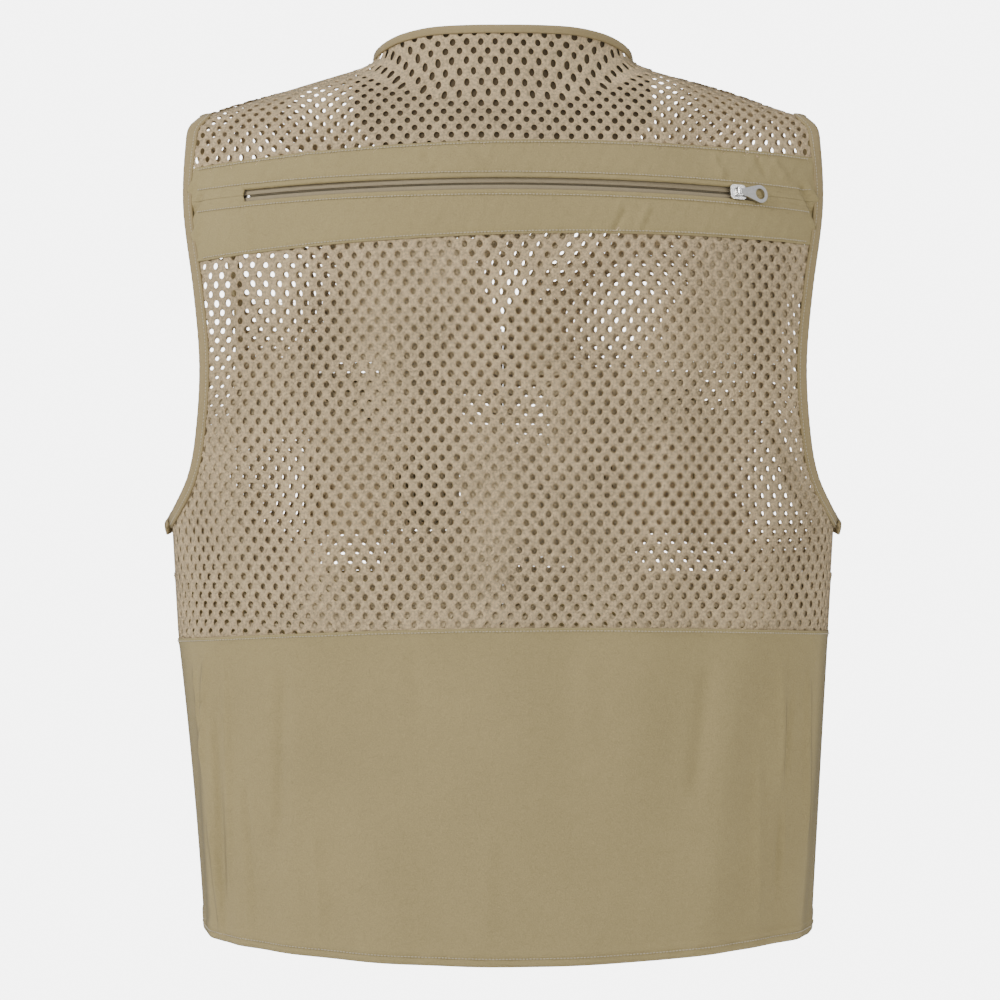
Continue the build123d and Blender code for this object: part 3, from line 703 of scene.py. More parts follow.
def math_node(tree, operation, a, b=None, c=None):
    made = node(tree, "ShaderNodeMath", operation=operation)
    for slot_index, value in enumerate((a, b, c)):
        if value is None:
            continue
        if isinstance(value, (int, float)):
            made.inputs[slot_index].default_value = value
        else:
            tree.links.new(value, made.inputs[slot_index])
    return made.outputs[0]


def weave_group():
    """Plain weave in cloth metres: height of the threads and a mask of the gaps between them, where painted
    shade darkens the colour.
    """
    tree, given, out = new_group("cloth_weave", [("Thread", "NodeSocketFloat", 0.0005),
                                                 ("Slant", "NodeSocketFloat", 0.0)],
                                 [("Height", "NodeSocketFloat"), ("Gap", "NodeSocketFloat")])
    where = node(tree, "ShaderNodeUVMap", uv_map="cloth")
    split = node(tree, "ShaderNodeSeparateXYZ")
    tree.links.new(where.outputs[0], split.inputs[0])
    per = math_node(tree, "DIVIDE", math.pi, given.outputs["Thread"])
    slanted = math_node(tree, "MULTIPLY_ADD", split.outputs[1], given.outputs["Slant"], split.outputs[0])
    warp = math_node(tree, "ABSOLUTE", math_node(tree, "SINE", math_node(tree, "MULTIPLY", slanted, per)))
    upright = math_node(tree, "MULTIPLY", split.outputs[1], per)
    weft = math_node(tree, "ABSOLUTE", math_node(tree, "SINE", upright))
    both = math_node(tree, "MULTIPLY", warp, weft)
    tree.links.new(math_node(tree, "POWER", both, 0.5), out.inputs["Height"])
    tree.links.new(math_node(tree, "SUBTRACT", 1.0, both), out.inputs["Gap"])
    return tree


def tone_and_gap_shade_group():
    """Uneven dye of the cloth: a colour that drifts lighter and darker, crinkles and fine grain, and painted
    shade that darkens the gaps of the weave. A strong drift, as on the net, also paints highlights and shade.
    """
    tree, given, out = new_group("dyed_cloth", [("Colour", "NodeSocketColor", (0.5, 0.5, 0.5, 1)),
                                                ("Drift", "NodeSocketFloat", 0.08),
                                                ("Crinkle", "NodeSocketFloat", 90.0),
                                                ("Grain", "NodeSocketFloat", 900.0),
                                                ("Gap", "NodeSocketFloat", 0.0)],
                                 [("Colour", "NodeSocketColor"), ("Roughness", "NodeSocketFloat"),
                                  ("Crinkles", "NodeSocketFloat")])
    where = node(tree, "ShaderNodeTexCoord")
    broad = node(tree, "ShaderNodeTexNoise")
    broad.inputs["Scale"].default_value = 14.0
    broad.inputs["Detail"].default_value = 4.0
    fine = node(tree, "ShaderNodeTexNoise")
    tree.links.new(given.outputs["Grain"], fine.inputs["Scale"])
    fine.inputs["Detail"].default_value = 2.0
    wrinkle = node(tree, "ShaderNodeTexNoise")
    wrinkle.inputs["Detail"].default_value = 5.0
    wrinkle.inputs["Roughness"].default_value = 0.62
    wrinkle.inputs["Distortion"].default_value = 0.8
    tree.links.new(given.outputs["Crinkle"], wrinkle.inputs["Scale"])
    for texture in (broad, fine, wrinkle):
        tree.links.new(where.outputs["Object"], texture.inputs["Vector"])
    lift = math_node(tree, "SUBTRACT", broad.outputs[0], 0.5)
    grain = math_node(tree, "SUBTRACT", fine.outputs[0], 0.5)
    both = math_node(tree, "MULTIPLY_ADD", grain, 2.4, lift)
    shift = math_node(tree, "MULTIPLY_ADD", both, given.outputs["Drift"], 1.0)
    # Painted shade: the colour darkens by up to 0.16 in the gaps between the threads
    shade = math_node(tree, "MULTIPLY_ADD", given.outputs["Gap"], -0.16, shift)
    scale = node(tree, "ShaderNodeVectorMath", operation="SCALE")
    tree.links.new(given.outputs["Colour"], scale.inputs[0])
    tree.links.new(shade, scale.inputs["Scale"])
    tree.links.new(scale.outputs[0], out.inputs["Colour"])
    rough = math_node(tree, "MULTIPLY_ADD", fine.outputs[0], 0.12, 0.72)
    tree.links.new(rough, out.inputs["Roughness"])
    tree.links.new(wrinkle.outputs[0], out.inputs["Crinkles"])
    return tree


def cloth_finish(name, colour, thread, slant=0.0, drift=0.10, crinkle=90.0, crinkle_height=0.0006,
                 weave_height=0.00018, sheen=0.04, grain=900.0):
    """Woven or knitted finish from the two shared groups, with painted shade that darkens the colour where
    the cloth is seen edge on.
    """
    material = bpy.data.materials.new(name)
    material.use_nodes = True
    tree = material.node_tree
    shader = tree.nodes["Principled BSDF"]
    weave = node(tree, "ShaderNodeGroup", (-700, -200), node_tree=bpy.data.node_groups["cloth_weave"])
    weave.inputs["Thread"].default_value = thread
    weave.inputs["Slant"].default_value = slant
    tone_and_shade = node(tree, "ShaderNodeGroup", (-450, 0), node_tree=bpy.data.node_groups["dyed_cloth"])
    tone_and_shade.inputs["Colour"].default_value = (*colour, 1)
    tone_and_shade.inputs["Drift"].default_value = drift
    tone_and_shade.inputs["Crinkle"].default_value = crinkle
    tone_and_shade.inputs["Grain"].default_value = grain
    tree.links.new(weave.outputs["Gap"], tone_and_shade.inputs["Gap"])
    # Painted shade: the colour falls to 0.42 of itself where the surface turns edge on to the view
    glance = node(tree, "ShaderNodeLayerWeight", (-450, 300))
    glance.inputs["Blend"].default_value = 0.5
    painted_edge_shade = node(tree, "ShaderNodeMapRange", (-250, 300))
    painted_edge_shade.inputs["From Min"].default_value = 0.55
    painted_edge_shade.inputs["To Min"].default_value = 1.0
    painted_edge_shade.inputs["To Max"].default_value = 0.42
    tree.links.new(glance.outputs["Facing"], painted_edge_shade.inputs["Value"])
    colour_with_edge_shade = node(tree, "ShaderNodeVectorMath", (-100, 200), operation="SCALE")
    tree.links.new(tone_and_shade.outputs["Colour"], colour_with_edge_shade.inputs[0])
    tree.links.new(painted_edge_shade.outputs[0], colour_with_edge_shade.inputs["Scale"])
    tree.links.new(colour_with_edge_shade.outputs[0], shader.inputs["Base Color"])
    tree.links.new(tone_and_shade.outputs["Roughness"], shader.inputs["Roughness"])
    large = node(tree, "ShaderNodeBump", (-200, -300))
    large.inputs["Distance"].default_value = crinkle_height
    small = node(tree, "ShaderNodeBump", (0, -300))
    small.inputs["Distance"].default_value = weave_height
    tree.links.new(tone_and_shade.outputs["Crinkles"], large.inputs["Height"])
    tree.links.new(weave.outputs["Height"], small.inputs["Height"])
    tree.links.new(large.outputs[0], small.inputs["Normal"])
    tree.links.new(small.outputs[0], shader.inputs["Normal"])
    shader.inputs["Sheen Weight"].default_value = sheen
    shader.inputs["Sheen Roughness"].default_value = 0.5
    shader.inputs["Specular IOR Level"].default_value = 0.25
    FINISHES[name] = material
    return material


def metal_finish(name, colour, rough=0.16):
    """Plated die casting with a slightly uneven polish."""
    material = bpy.data.materials.new(name)
    material.use_nodes = True
    tree = material.node_tree
    shader = tree.nodes["Principled BSDF"]
    shader.inputs["Metallic"].default_value = 1.0
    where = node(tree, "ShaderNodeTexCoord", (-900, 0))
    noise = node(tree, "ShaderNodeTexNoise", (-700, 0))
    noise.inputs["Scale"].default_value = 600.0
    tree.links.new(where.outputs["Object"], noise.inputs["Vector"])
    ramp = node(tree, "ShaderNodeMapRange", (-450, 0))
    ramp.inputs["To Min"].default_value = rough * 0.7
    ramp.inputs["To Max"].default_value = rough * 1.6
    tree.links.new(noise.outputs[0], ramp.inputs["Value"])
    tree.links.new(ramp.outputs[0], shader.inputs["Roughness"])
    worn = node(tree, "ShaderNodeMix", (-200, 200), data_type="RGBA")
    worn.inputs["A"].default_value = (*colour, 1)
    worn.inputs["B"].default_value = (*[value * 0.72 for value in colour], 1)
    tree.links.new(noise.outputs[0], worn.inputs["Factor"])
    tree.links.new(worn.outputs["Result"], shader.inputs["Base Color"])
    dents = node(tree, "ShaderNodeBump", (-200, -300))
    dents.inputs["Distance"].default_value = 0.00004
    tree.links.new(noise.outputs[0], dents.inputs["Height"])
    tree.links.new(dents.outputs[0], shader.inputs["Normal"])
    FINISHES[name] = material
    return material


def make_finishes():
    colours = bpy.context.scene.vest_colours
    weave_group()
    tone_and_gap_shade_group()
    cloth_finish("nylon", tuple(colours.nylon), 0.00045, drift=0.16, grain=1100.0, crinkle=130.0,
                 crinkle_height=0.0012)
    # Painted light: the pocket net's finish is lighter than the outer net's to offset the shade behind the
    # outer net
    for name, colour in (("net_yarn", colours.net), ("lightened_inner_yarn", colours.inner_net)):
        # On both nets the strong drift of 0.55 over fine grain paints highlights and shade of the knit's
        # loops, on top of the yarn's random tone
        cloth_finish(name, tuple(colour), 0.0007, slant=0.5, drift=0.55, grain=520.0, crinkle=420.0,
                     crinkle_height=0.0012, weave_height=0.0009, sheen=0.1)
    cloth_finish("binding_tape", tuple(colours.binding), 0.0006, drift=0.14, crinkle=260.0,
                 crinkle_height=0.0005)
    cloth_finish("thread", tuple(colours.thread), 0.0003, slant=1.0, drift=0.10, crinkle=900.0,
                 crinkle_height=0.00008, weave_height=0.00005, sheen=0.5)
    cloth_finish("zip_tape", tuple(colours.tape), 0.0006, slant=1.0, drift=0.12, crinkle=300.0,
                 crinkle_height=0.0002)
    cloth_finish("webbing", tuple(colours.binding), 0.0011, drift=0.12, crinkle=300.0, crinkle_height=0.0002,
                 weave_height=0.0003)
    cloth_finish("bristle", tuple(colours.dark), 0.0008, drift=0.35, crinkle=1500.0, crinkle_height=0.0006)
    cloth_finish("coil", tuple(colours.dark), 0.0012, drift=0.08, crinkle=700.0, crinkle_height=0.0001,
                 weave_height=0.0004, sheen=0.1)
    # Painted shade: the finish inside the collar is near black to stand for the vest's dark inside
    cloth_finish("facing", tuple(colours.facing), 0.0005, drift=0.12, crinkle=200.0, crinkle_height=0.0004)
    metal_finish("plated_metal", tuple(colours.metal))


# ---------------------------------------------------------------- the back

def inside_armhole(x, z, outline, margin):
    """Positive on the cloth's side of an armhole, less a margin."""
    return edge_at(outline, z) - np.abs(x) - margin


def panel_field(points, side, outline, margin, top=None, foot=None):
    """Positive where a panel has cloth: inside the armholes and side seams and between two seams."""
    u, v = points[:, 0], points[:, 1]
    base = on_form(u, v, side)
    keep = np.minimum(inside_armhole(base[:, 0], base[:, 2], outline, margin),
                      side_length() - 0.0003 - np.abs(u))
    if top is not None:
        keep = np.minimum(keep, top(base[:, 0]) - v)
    if foot is not None:
        keep = np.minimum(keep, v - foot(base[:, 0]))
    return keep


def make_back_net():
    """Large net panel between the zip band and the plain lower panel."""
    c = cloth()
    width = side_length()
    points, faces = net_lattice((-width, width), (-0.445, -0.125))
    keep = panel_field(points, BACK, BACK_ARMHOLE, c.binding / 2, lambda x: band_seam(x) + c.tuck,
                       lambda x: lower_seam(x) - c.tuck)
    points, faces = trim(points, faces, keep)
    places, _ = lay(points, BACK, 0.0012)
    piece = new_piece("back_net_panel", places, on_side(faces, BACK), finish("net_yarn"), "back",
                      ["back_mesh_panel"], points)


def make_pocket_net():
    """Inner net of the large back pocket. It hangs free of the outer net and is sewn in round its edge."""
    c = cloth()
    width = side_length()
    points, faces = net_lattice((-width, width), (-0.445, -0.065), phase=(0.0034, 0.0021),
                                points_round=10, scale=1.05)
    points[:, 0] += 0.004 * np.sin(points[:, 1] * 9 + 0.5) + 0.018 * points[:, 1]
    keep = panel_field(points, BACK, BACK_ARMHOLE, c.binding / 2, lambda x: yoke_seam(x) - 0.006,
                       lambda x: lower_seam(x) - c.tuck)
    points, faces = trim(points, faces, keep)
    u, v = points[:, 0], points[:, 1]
    base = on_form(u, v, BACK)
    near = np.minimum(inside_armhole(base[:, 0], base[:, 2], BACK_ARMHOLE, 0.004),
                      side_length() - np.abs(u))
    near = np.minimum(near, v - lower_seam(base[:, 0]) + 0.004)
    near = np.clip(near / 0.030, 0, 1)
    drop = 0.0027 + 0.0013 * near * near * (3 - 2 * near)
    behind = np.clip((v - band_seam(base[:, 0])) / 0.014, 0, 1)
    drop = drop + 0.0044 * behind * behind * (3 - 2 * behind)
    own = 0.0007 * wave(u, v, 0.11, 0.3, 0.7) * near + 0.0005 * wave(u, v, 0.067, -0.15, 2.0) * near
    places, _ = lay(points, BACK, drop, own)
    # Lighter finish than the outer net: painted light against the shade behind it
    piece = new_piece("back_pocket_net", places, on_side(faces, BACK), finish("lightened_inner_yarn"), "back",
                      ["back_pocket_lining"], points)


def neck_distance(x, y):
    """Distance outside the collar's oval, measured from above."""
    f = form()
    return (np.hypot(x / f.neck_half_width, y / f.neck_half_depth) - 1) * f.neck_half_depth


def make_yoke_net():
    """Net over the shoulder blades, from the zip band up over the shoulders to their ridge."""
    c = cloth()
    width = side_length()
    points, faces = net_lattice((-width, width), (-0.085, 0.100), phase=(0.0, 0.0012))
    keep = panel_field(points, BACK, BACK_ARMHOLE, c.binding / 2, None, lambda x: yoke_seam(x) - c.tuck)
    base = on_form(points[:, 0], points[:, 1], BACK)
    keep = np.minimum(keep, base[:, 1] + 0.0002)
    keep = np.where(np.abs(points[:, 0]) > width - 0.004, -0.001, keep)
    keep = np.minimum(keep, with_collar(base)[1] - 0.0022)
    points, faces = trim(points, faces, keep)
    places, _, _, _ = yoke_places(points, 0.0008)
    piece = new_piece("back_yoke_net", places, on_side(faces, BACK), finish("net_yarn"), "back",
                      ["back_yoke_mesh", "collar_mesh"], points)


def make_neck_facing():
    """Plain facing inside the collar and the middle of the yoke. Its near-black finish is painted shade that
    stands for the dark inside of the vest.
    """
    points, faces = plain_grid(np.linspace(-0.125, 0.125, 110), np.linspace(-0.076, 0.100, 96))
    base = on_form(points[:, 0], points[:, 1], BACK)
    away = np.abs(base[:, 0])
    behind = base[:, 1] - 0.016 - 0.10 * np.clip(away - 0.08, 0, None)
    keep = np.minimum(behind, with_collar(base)[1] - 0.003)
    narrow = 0.120 - 0.9 * np.clip(-0.040 - points[:, 1], 0, None)
    keep = np.minimum(keep, narrow - away - 0.4 * np.clip(away - 0.09, 0, None))
    points, faces = trim(points, faces, keep)
    places, normals, _, _ = yoke_places(points, 0.0030)
    both, ring = thickened(places, normals, on_side(faces, FRONT), 0.0005)
    piece = new_piece("neck_facing_cloth", both, ring, finish("facing"), "back", (), points,
                      closed=True)


def slot_height(x):
    """Height of the back zip's middle line."""
    sag = 1 - np.sqrt(np.maximum(1 - (x / SLOT_RADIUS) ** 2, 0))
    return SLOT_MIDDLE - SLOT_RADIUS * math.sin(SLOT_TILT) * sag


def slot_reach():
    """Ends of the slot in the band."""
    return SLOT_RADIUS * math.sin(SLOT_LEFT), -SLOT_RADIUS * math.sin(SLOT_RIGHT)


def make_zip_band():
    """Plain band across the back in two halves, with folded lips at the slot of the zip."""
    c = cloth()
    left, right = slot_reach()
    u_left = float(across_of(np.array([left]), np.array([-0.1]))[0])
    u_right = float(across_of(np.array([right]), np.array([-0.1]))[0])
    width = side_length()
    columns = np.linspace(-width + 0.002, width - 0.002, 300)
    columns = np.unique(np.concatenate([columns, [u_left - 0.0001, u_left, u_right, u_right + 0.0001]]))
    shares = np.array([0, 0.02, 0.05, 0.09, 0.12, 0.14, 0.17, 0.22, 0.30, 0.38, 0.46, 0.54, 0.62, 0.70,
                       0.78, 0.86, 0.92, 0.95, 0.975, 1.0])
    runs = []
    for name, up in (("upper", 1), ("lower", -1)):
        points, faces = plain_grid(columns, shares)
        u = points[:, 0]
        x = on_form(u, np.full(len(u), -0.1), BACK)[:, 0]
        open_here = (u >= u_right) & (u <= u_left)
        start = slot_height(x) + up * np.where(open_here, SLOT_HALF, 0.00005)
        stop = yoke_seam(x) if up > 0 else band_seam(x)
        share = points[:, 1].copy()
        points[:, 1] = start + (stop - start) * share
        away = np.abs(points[:, 1] - start)
        roll = 0.0006 * np.clip(1 - away / 0.006, 0, 1) - 0.0016 * np.clip(1 - away / 0.0008, 0, 1)
        lip = np.where(open_here, roll, 0)
        groove = -0.0004 * bump(away, 0.0040, 0.0006)
        fold = 0.0005 * (1 - np.clip((1 - share) * 32 - 1, 0, 1)) - 0.0006 * (share == 1.0)
        keep = inside_armhole(x, points[:, 1], BACK_ARMHOLE, c.binding / 2)
        extra = 1.35 * band_creases(u, points[:, 1]) + lip + groove + fold
        points = np.column_stack([points[:, :2], extra])
        points, faces = trim(points, faces if up > 0 else faces[:, ::-1], keep)
        places, normals = lay(points, BACK, 0.0002)
        both, ring = thickened(places, normals, on_side(faces, BACK), c.thickness)
        piece = new_piece(f"zip_band_{name}_cloth", both, ring, finish("nylon"), "back",
                          [f"zip_band_{name}"], points)
    line_u = np.linspace(-width + 0.016, width - 0.016, 160)
    x = on_form(line_u, np.full(160, -0.1), BACK)[:, 0]
    for height in (yoke_seam(x) - BAND_STITCH, slot_height(x) + SLOT_STITCH, slot_height(x) - SLOT_STITCH,
                   band_seam(x) + BAND_STITCH):
        inside = inside_armhole(x, height, BACK_ARMHOLE, c.binding) > 0
        line = np.column_stack([line_u, height, 1.35 * band_creases(line_u, height)])[inside]
        runs.append(lay(line, BACK, -0.0003))
    stitching("back_band_stitching", runs, "back")


def make_back_lower_cloth():
    """Plain lower panel of the back with a folded top edge and a stitched hem."""
    c = cloth()
    width = side_length() - 0.0003
    columns = np.linspace(-width, width, 230)
    finer = [0.004, 0.010, 0.016, 0.955, 0.965, 0.975, 0.985, 0.992]
    shares = np.unique(np.concatenate([np.linspace(0, 1, 80), finer]))
    points, faces = plain_grid(columns, shares)
    u, share = points[:, 0].copy(), points[:, 1].copy()
    x = on_form(u, np.full(len(u), -0.43), BACK)[:, 0]
    top = lower_seam(x)
    foot = hem_line(x, u)
    v = top + (foot - top) * share
    hem = np.abs(v - foot)
    fold = 0.0005 * np.clip(1.6 - (top - v) / 0.004, 0, 1)
    turned = 0.0007 * np.clip((HEM_DEPTH - hem) / 0.001, 0, 1) - 0.0005 * bump(hem, HEM_STITCH, 0.0007)
    turned = turned - 0.0013 * np.clip(1 - hem / 0.0012, 0, 1) ** 2
    ripple = 0.00035 * np.sin(u * 240) * bump(hem, 0.006, 0.006) * (0.5 + 0.5 * np.sin(u * 31))
    extra = lower_creases(u, v) + fold + turned + ripple
    points = np.column_stack([u, v, extra])
    places, normals = lay(points, BACK, 0.0002)
    both, ring = thickened(places, normals, on_side(faces[:, ::-1].tolist(), BACK), c.thickness)
    piece = new_piece("back_lower_cloth", both, ring, finish("nylon"), "back",
                      ["back_lower_panel"], points)
    runs = []
    line_u = np.linspace(-width + 0.003, width - 0.003, 260)
    x = on_form(line_u, np.full(260, -0.5), BACK)[:, 0]
    for height in (lower_seam(x) - SEAM_STITCH, hem_line(x, line_u) + HEM_STITCH):
        line = np.column_stack([line_u, height, lower_creases(line_u, height)])
        runs.append(lay(line, BACK, -0.0004))
    stitching("back_lower_stitching", runs, "back")


def binding_section(width, thickness):
    """Rounded section of a folded tape round a cloth edge, with the groove of its stitching."""
    w, t = width, thickness / 2
    shape = [(0.0, -t), (-0.0009, -t * 0.62), (-0.0013, 0.0), (-0.0009, t * 0.72), (0.0, t),
             (w * 0.30, t * 1.12), (w * 0.62, t * 0.98), (w * 0.76, t * 0.62), (w * 0.88, t * 0.72),
             (w, t * 0.30), (w, -t * 0.30), (w * 0.88, -t * 0.72), (w * 0.76, -t * 0.62), (w * 0.5, -t)]
    return np.array(shape)


def bound_edge(name, path, outs, inward, rides, stands_for, width=None):
    """Folded tape sewn over an edge. inward points from the edge into the cloth. Gives the line where its
    stitches go."""
    c = cloth()
    line = even(np.hstack([path, outs]), 0.0022)
    path, outs = line[:, :3], line[:, 3:]
    outs = outs / np.linalg.norm(outs, axis=1)[:, None]
    run = np.gradient(path, axis=0)
    run /= np.linalg.norm(run, axis=1)[:, None]
    inward_sign = 1 if np.sum(np.cross(outs, run) @ np.array(inward, float)) > 0 else -1
    width = width or c.binding
    section = binding_section(width, 0.0036)
    section = np.repeat(section[None], len(path), axis=0)
    pucker = 1 + 0.10 * np.sin(np.arange(len(path)) * 1.9) * np.sin(np.arange(len(path)) * 0.31)
    section[:, :, 1] *= pucker[:, None]
    section[:, :, 0] *= inward_sign
    places, faces = swept(path, outs, section)
    across = np.cross(outs, run) * inward_sign
    flat = np.repeat(np.arange(len(path))[:, None] * 0.0022, section.shape[1], axis=1)
    flat = np.stack([flat, section[:, :, 0]], axis=2).reshape(-1, 2)
    new_piece(name, places, faces, finish("binding_tape"), rides, stands_for, flat,
              closed=True)
    return path + across * width * 0.76 + outs * 0.0011, outs


def armhole_path(outline, side, sign):
    """Edge of an armhole from its foot at the side seam up to the shoulder ridge."""
    top = -0.040
    for _ in range(20):
        top = float(ridge(edge_at(outline, np.array([top])))[0])
    foot = ARMHOLE_FOOT
    share = np.sin(np.linspace(0, math.pi / 2, 220))
    z = foot + (top - foot) * share
    x = np.minimum(edge_at(outline, z), half_width(z) * 0.99995)
    points = at_height(x, z, side)
    points[-1, 1] = 0.0
    points[0, 1] = 0.0
    normals = outward(points)
    u = across_of(x, z)
    points = points + normals * (folds(u, z, side) - 0.0009)[:, None]
    tip = np.clip(1 - (z - foot) / 0.010, 0, 1) ** 2
    points[:, 0] += tip * 0.0045
    points[:, 0] *= sign
    normals[:, 0] *= sign
    return points, normals


def make_armhole_bindings():
    """Bindings of both armholes, each in a back and a front length."""
    for name, sign in SIDES.items():
        points, normals = armhole_path(BACK_ARMHOLE, BACK, sign)
        run = bound_edge(f"back_armhole_edge_{name}", points, normals, (-sign, 0, -0.3), "back",
                         [f"back_armhole_binding_{name}"])
        stitching(f"back_armhole_stitching_{name}", [run], "back")
        points, normals = armhole_path(FRONT_ARMHOLE, FRONT, sign)
        rides = ("back", f"front_{name}")
        run = bound_edge(f"front_armhole_edge_{name}", points, normals, (-sign, 0, -0.3), rides,
                         [f"front_armhole_binding_{name}"])
        stitching(f"front_armhole_stitching_{name}", [run], rides)


# ---------------------------------------------------------------- the collar

COLLAR_END = math.radians(105)


def collar_table():
    """Turn round the neck and the length along the collar's foot to it."""
    f = form()
    turn = np.linspace(0, COLLAR_END + 0.2, 600)
    step = np.hypot(f.neck_half_width * np.cos(turn), f.neck_half_depth * np.sin(turn))
    return turn, np.concatenate([[0], np.cumsum((step[1:] + step[:-1]) / 2) * (turn[1] - turn[0])])


def body_height(x, y):
    """Height of the body's surface above a place seen from above."""
    f = form()
    deep = f.half_depth * np.sqrt(np.maximum(1 - (x / f.half_width) ** 2, 0.01))
    return ridge(x) - f.shoulder_drop + f.shoulder_drop * np.sqrt(np.maximum(1 - (y / deep) ** 2, 0))


def collar_top(turn):
    """Height of the collar's edge: level at the back, rising a little, then falling to the front."""
    line = smooth_line([(0, 0.0226), (0.35, 0.0226), (0.65, 0.0218), (0.95, 0.0185), (1.2, 0.0138),
                        (1.45, 0.0090),
                        (1.65, 0.0055), (COLLAR_END, 0.0030), (COLLAR_END + 0.3, 0.0020)])
    return np.interp(np.abs(turn), line[:, 0], line[:, 1])


def on_collar(a, h):
    """Places on the collar: a along it from the middle of the back, h down from its edge."""
    turns, lengths = collar_table()
    return collar_places(np.interp(np.abs(a), lengths, turns) * np.sign(a), h)


def collar_places(turn, h):
    """Places on the collar from the turn round the neck and the distance down from its edge, and the
    cloth left below each. Below the upright wall the net flares out onto the yoke."""
    f = form()
    taper = np.clip((2.284 - np.abs(turn)) / 0.7, 0.25, 1)
    flare = f.neck_flare * taper
    sin_t, cos_t = np.sin(turn), np.cos(turn)

    def plan(grow):
        return (f.neck_half_width + grow) * sin_t, (f.neck_half_depth + grow) * cos_t

    x1, y1 = plan(0.0)
    corner = body_height(x1, y1)
    top = np.maximum(collar_top(turn), corner + 0.004)
    x0, y0 = plan(flare)
    foot = body_height(x0, y0) + 0.0002
    bend_top = np.minimum(corner + flare, corner + (top - corner) * 0.75)
    lean = f.collar_lean * np.clip((top - corner) / 0.03, 0, 1)
    xt, yt = plan(-lean)
    wall = top - bend_top
    curve = np.sqrt(flare ** 2 + (corner - foot) ** 2) * 0.62 + (bend_top - corner) * 0.62
    t = np.clip((h - wall) / curve, 0, 1)
    straight = np.clip(h / np.maximum(wall, 1e-6), 0, 1)
    share = (bend_top - corner) / np.maximum(top - corner, 1e-6)
    xb, yb = x1 + (xt - x1) * share, y1 + (yt - y1) * share
    wall_x, wall_y = xt + (xb - xt) * straight, yt + (yb - yt) * straight
    wall_z = top + (bend_top - top) * straight
    s = 1 - t
    curve_x = s * s * xb + 2 * s * t * x1 + t * t * x0
    curve_y = s * s * yb + 2 * s * t * y1 + t * t * y0
    curve_z = s * s * bend_top + 2 * s * t * corner + t * t * foot
    low = h > wall
    return np.stack([np.where(low, curve_x, wall_x), np.where(low, curve_y, wall_y),
                     np.where(low, curve_z, wall_z)], axis=1), wall + curve - h


def with_collar(base):
    """Moves places of the back yoke that lie under the neck up onto the collar, so that one net runs
    from the yoke into it. Also gives the cloth left above each place and how far it has come up."""
    f = form()
    x, y = base[:, 0], base[:, 1]
    around = np.arctan2(x / f.neck_half_width, y / f.neck_half_depth)
    radius = 1 / (np.sin(around) ** 2 / f.neck_half_width + np.cos(around) ** 2 / f.neck_half_depth)
    grow = (np.hypot(x / f.neck_half_width, y / f.neck_half_depth) - 1) * radius
    reach = np.clip(f.neck_flare - grow, 0, None) * 1.35
    level = np.arcsin(np.clip(x / (f.neck_half_width + np.clip(grow, 0, f.neck_flare)), -1, 1))
    share = np.clip((np.abs(x) - 0.040) / 0.045, 0, 1)
    share = share * share * (3 - 2 * share)
    turn = level * (1 - share) + around * share
    _, total = collar_places(turn, np.zeros(len(turn)))
    places, _ = collar_places(turn, np.clip(total - reach, 0, None))
    join = np.clip(reach / 0.006, 0, 1)
    join = (join * join * (3 - 2 * join))[:, None]
    return base + (places - base) * join, total - reach, reach


def yoke_places(points, inset):
    """World places of yoke and collar cloth, and the outward directions there."""
    u, v, lift = points.T
    e = 0.0004
    sides = []
    for du, dv in ((e, 0), (-e, 0), (0, e), (0, -e)):
        sides.append(with_collar(on_form(u + du, v + dv, BACK))[0])
    n = np.cross(sides[2] - sides[3], sides[0] - sides[1])
    n /= np.maximum(np.linalg.norm(n, axis=1), 1e-12)[:, None]
    places, left, reach = with_collar(on_form(u, v, BACK))
    flat = 1 - np.clip(reach / 0.02, 0, 1)
    rise = lift + folds(u, v, BACK) * flat - inset
    return places + n * rise[:, None], n, left, reach


def collar_normals(a, h):
    e = 0.0006
    along = on_collar(a + e, h)[0] - on_collar(a - e, h)[0]
    down = on_collar(a, h + e)[0] - on_collar(a, np.maximum(h - e, 0))[0]
    n = np.cross(down, along)
    n /= np.maximum(np.linalg.norm(n, axis=1), 1e-12)[:, None]
    return n


def make_collar():
    """Front ends of the stand-up net collar, and the tape bound over its edge."""
    reach = float(np.interp(COLLAR_END, *collar_table()))
    points, faces = net_lattice((-reach, reach), (-0.075, 0.0), phase=(0.0, 0.0005))
    h = -points[:, 1]
    _, left = on_collar(points[:, 0], h)
    start = float(np.interp(math.radians(89), *collar_table()))
    keep = np.minimum(np.minimum(left, h - 0.0025), reach - np.abs(points[:, 0]))
    keep = np.minimum(keep, np.abs(points[:, 0]) - start)
    flat, faces = trim(points, faces, keep)
    places, _ = on_collar(flat[:, 0], -flat[:, 1])
    normals = collar_normals(flat[:, 0], -flat[:, 1])
    wrinkle = 0.0011 * np.sin(flat[:, 0] * 95 + flat[:, 1] * 60) * bump(np.abs(flat[:, 0]), 0.115, 0.035)
    wrinkle = wrinkle + 0.0009 * np.sin(flat[:, 0] * 120) * bump(flat[:, 0], -0.055, 0.02)
    places = places + normals * (flat[:, 2] + wrinkle)[:, None]
    piece = new_piece("collar_net", places, on_side(faces, BACK), finish("net_yarn"), "back",
                      ["collar_mesh"], flat)
    a = np.linspace(-reach, reach, 300)
    path, _ = on_collar(a, np.zeros(300))
    outs = collar_normals(a, np.full(300, 0.002))
    run = bound_edge("collar_edge", path, outs, (0, 0, -1), "back", ["collar_binding"], 0.0052)
    stitching("collar_stitching", [run], "back")


# ---------------------------------------------------------------- the fronts

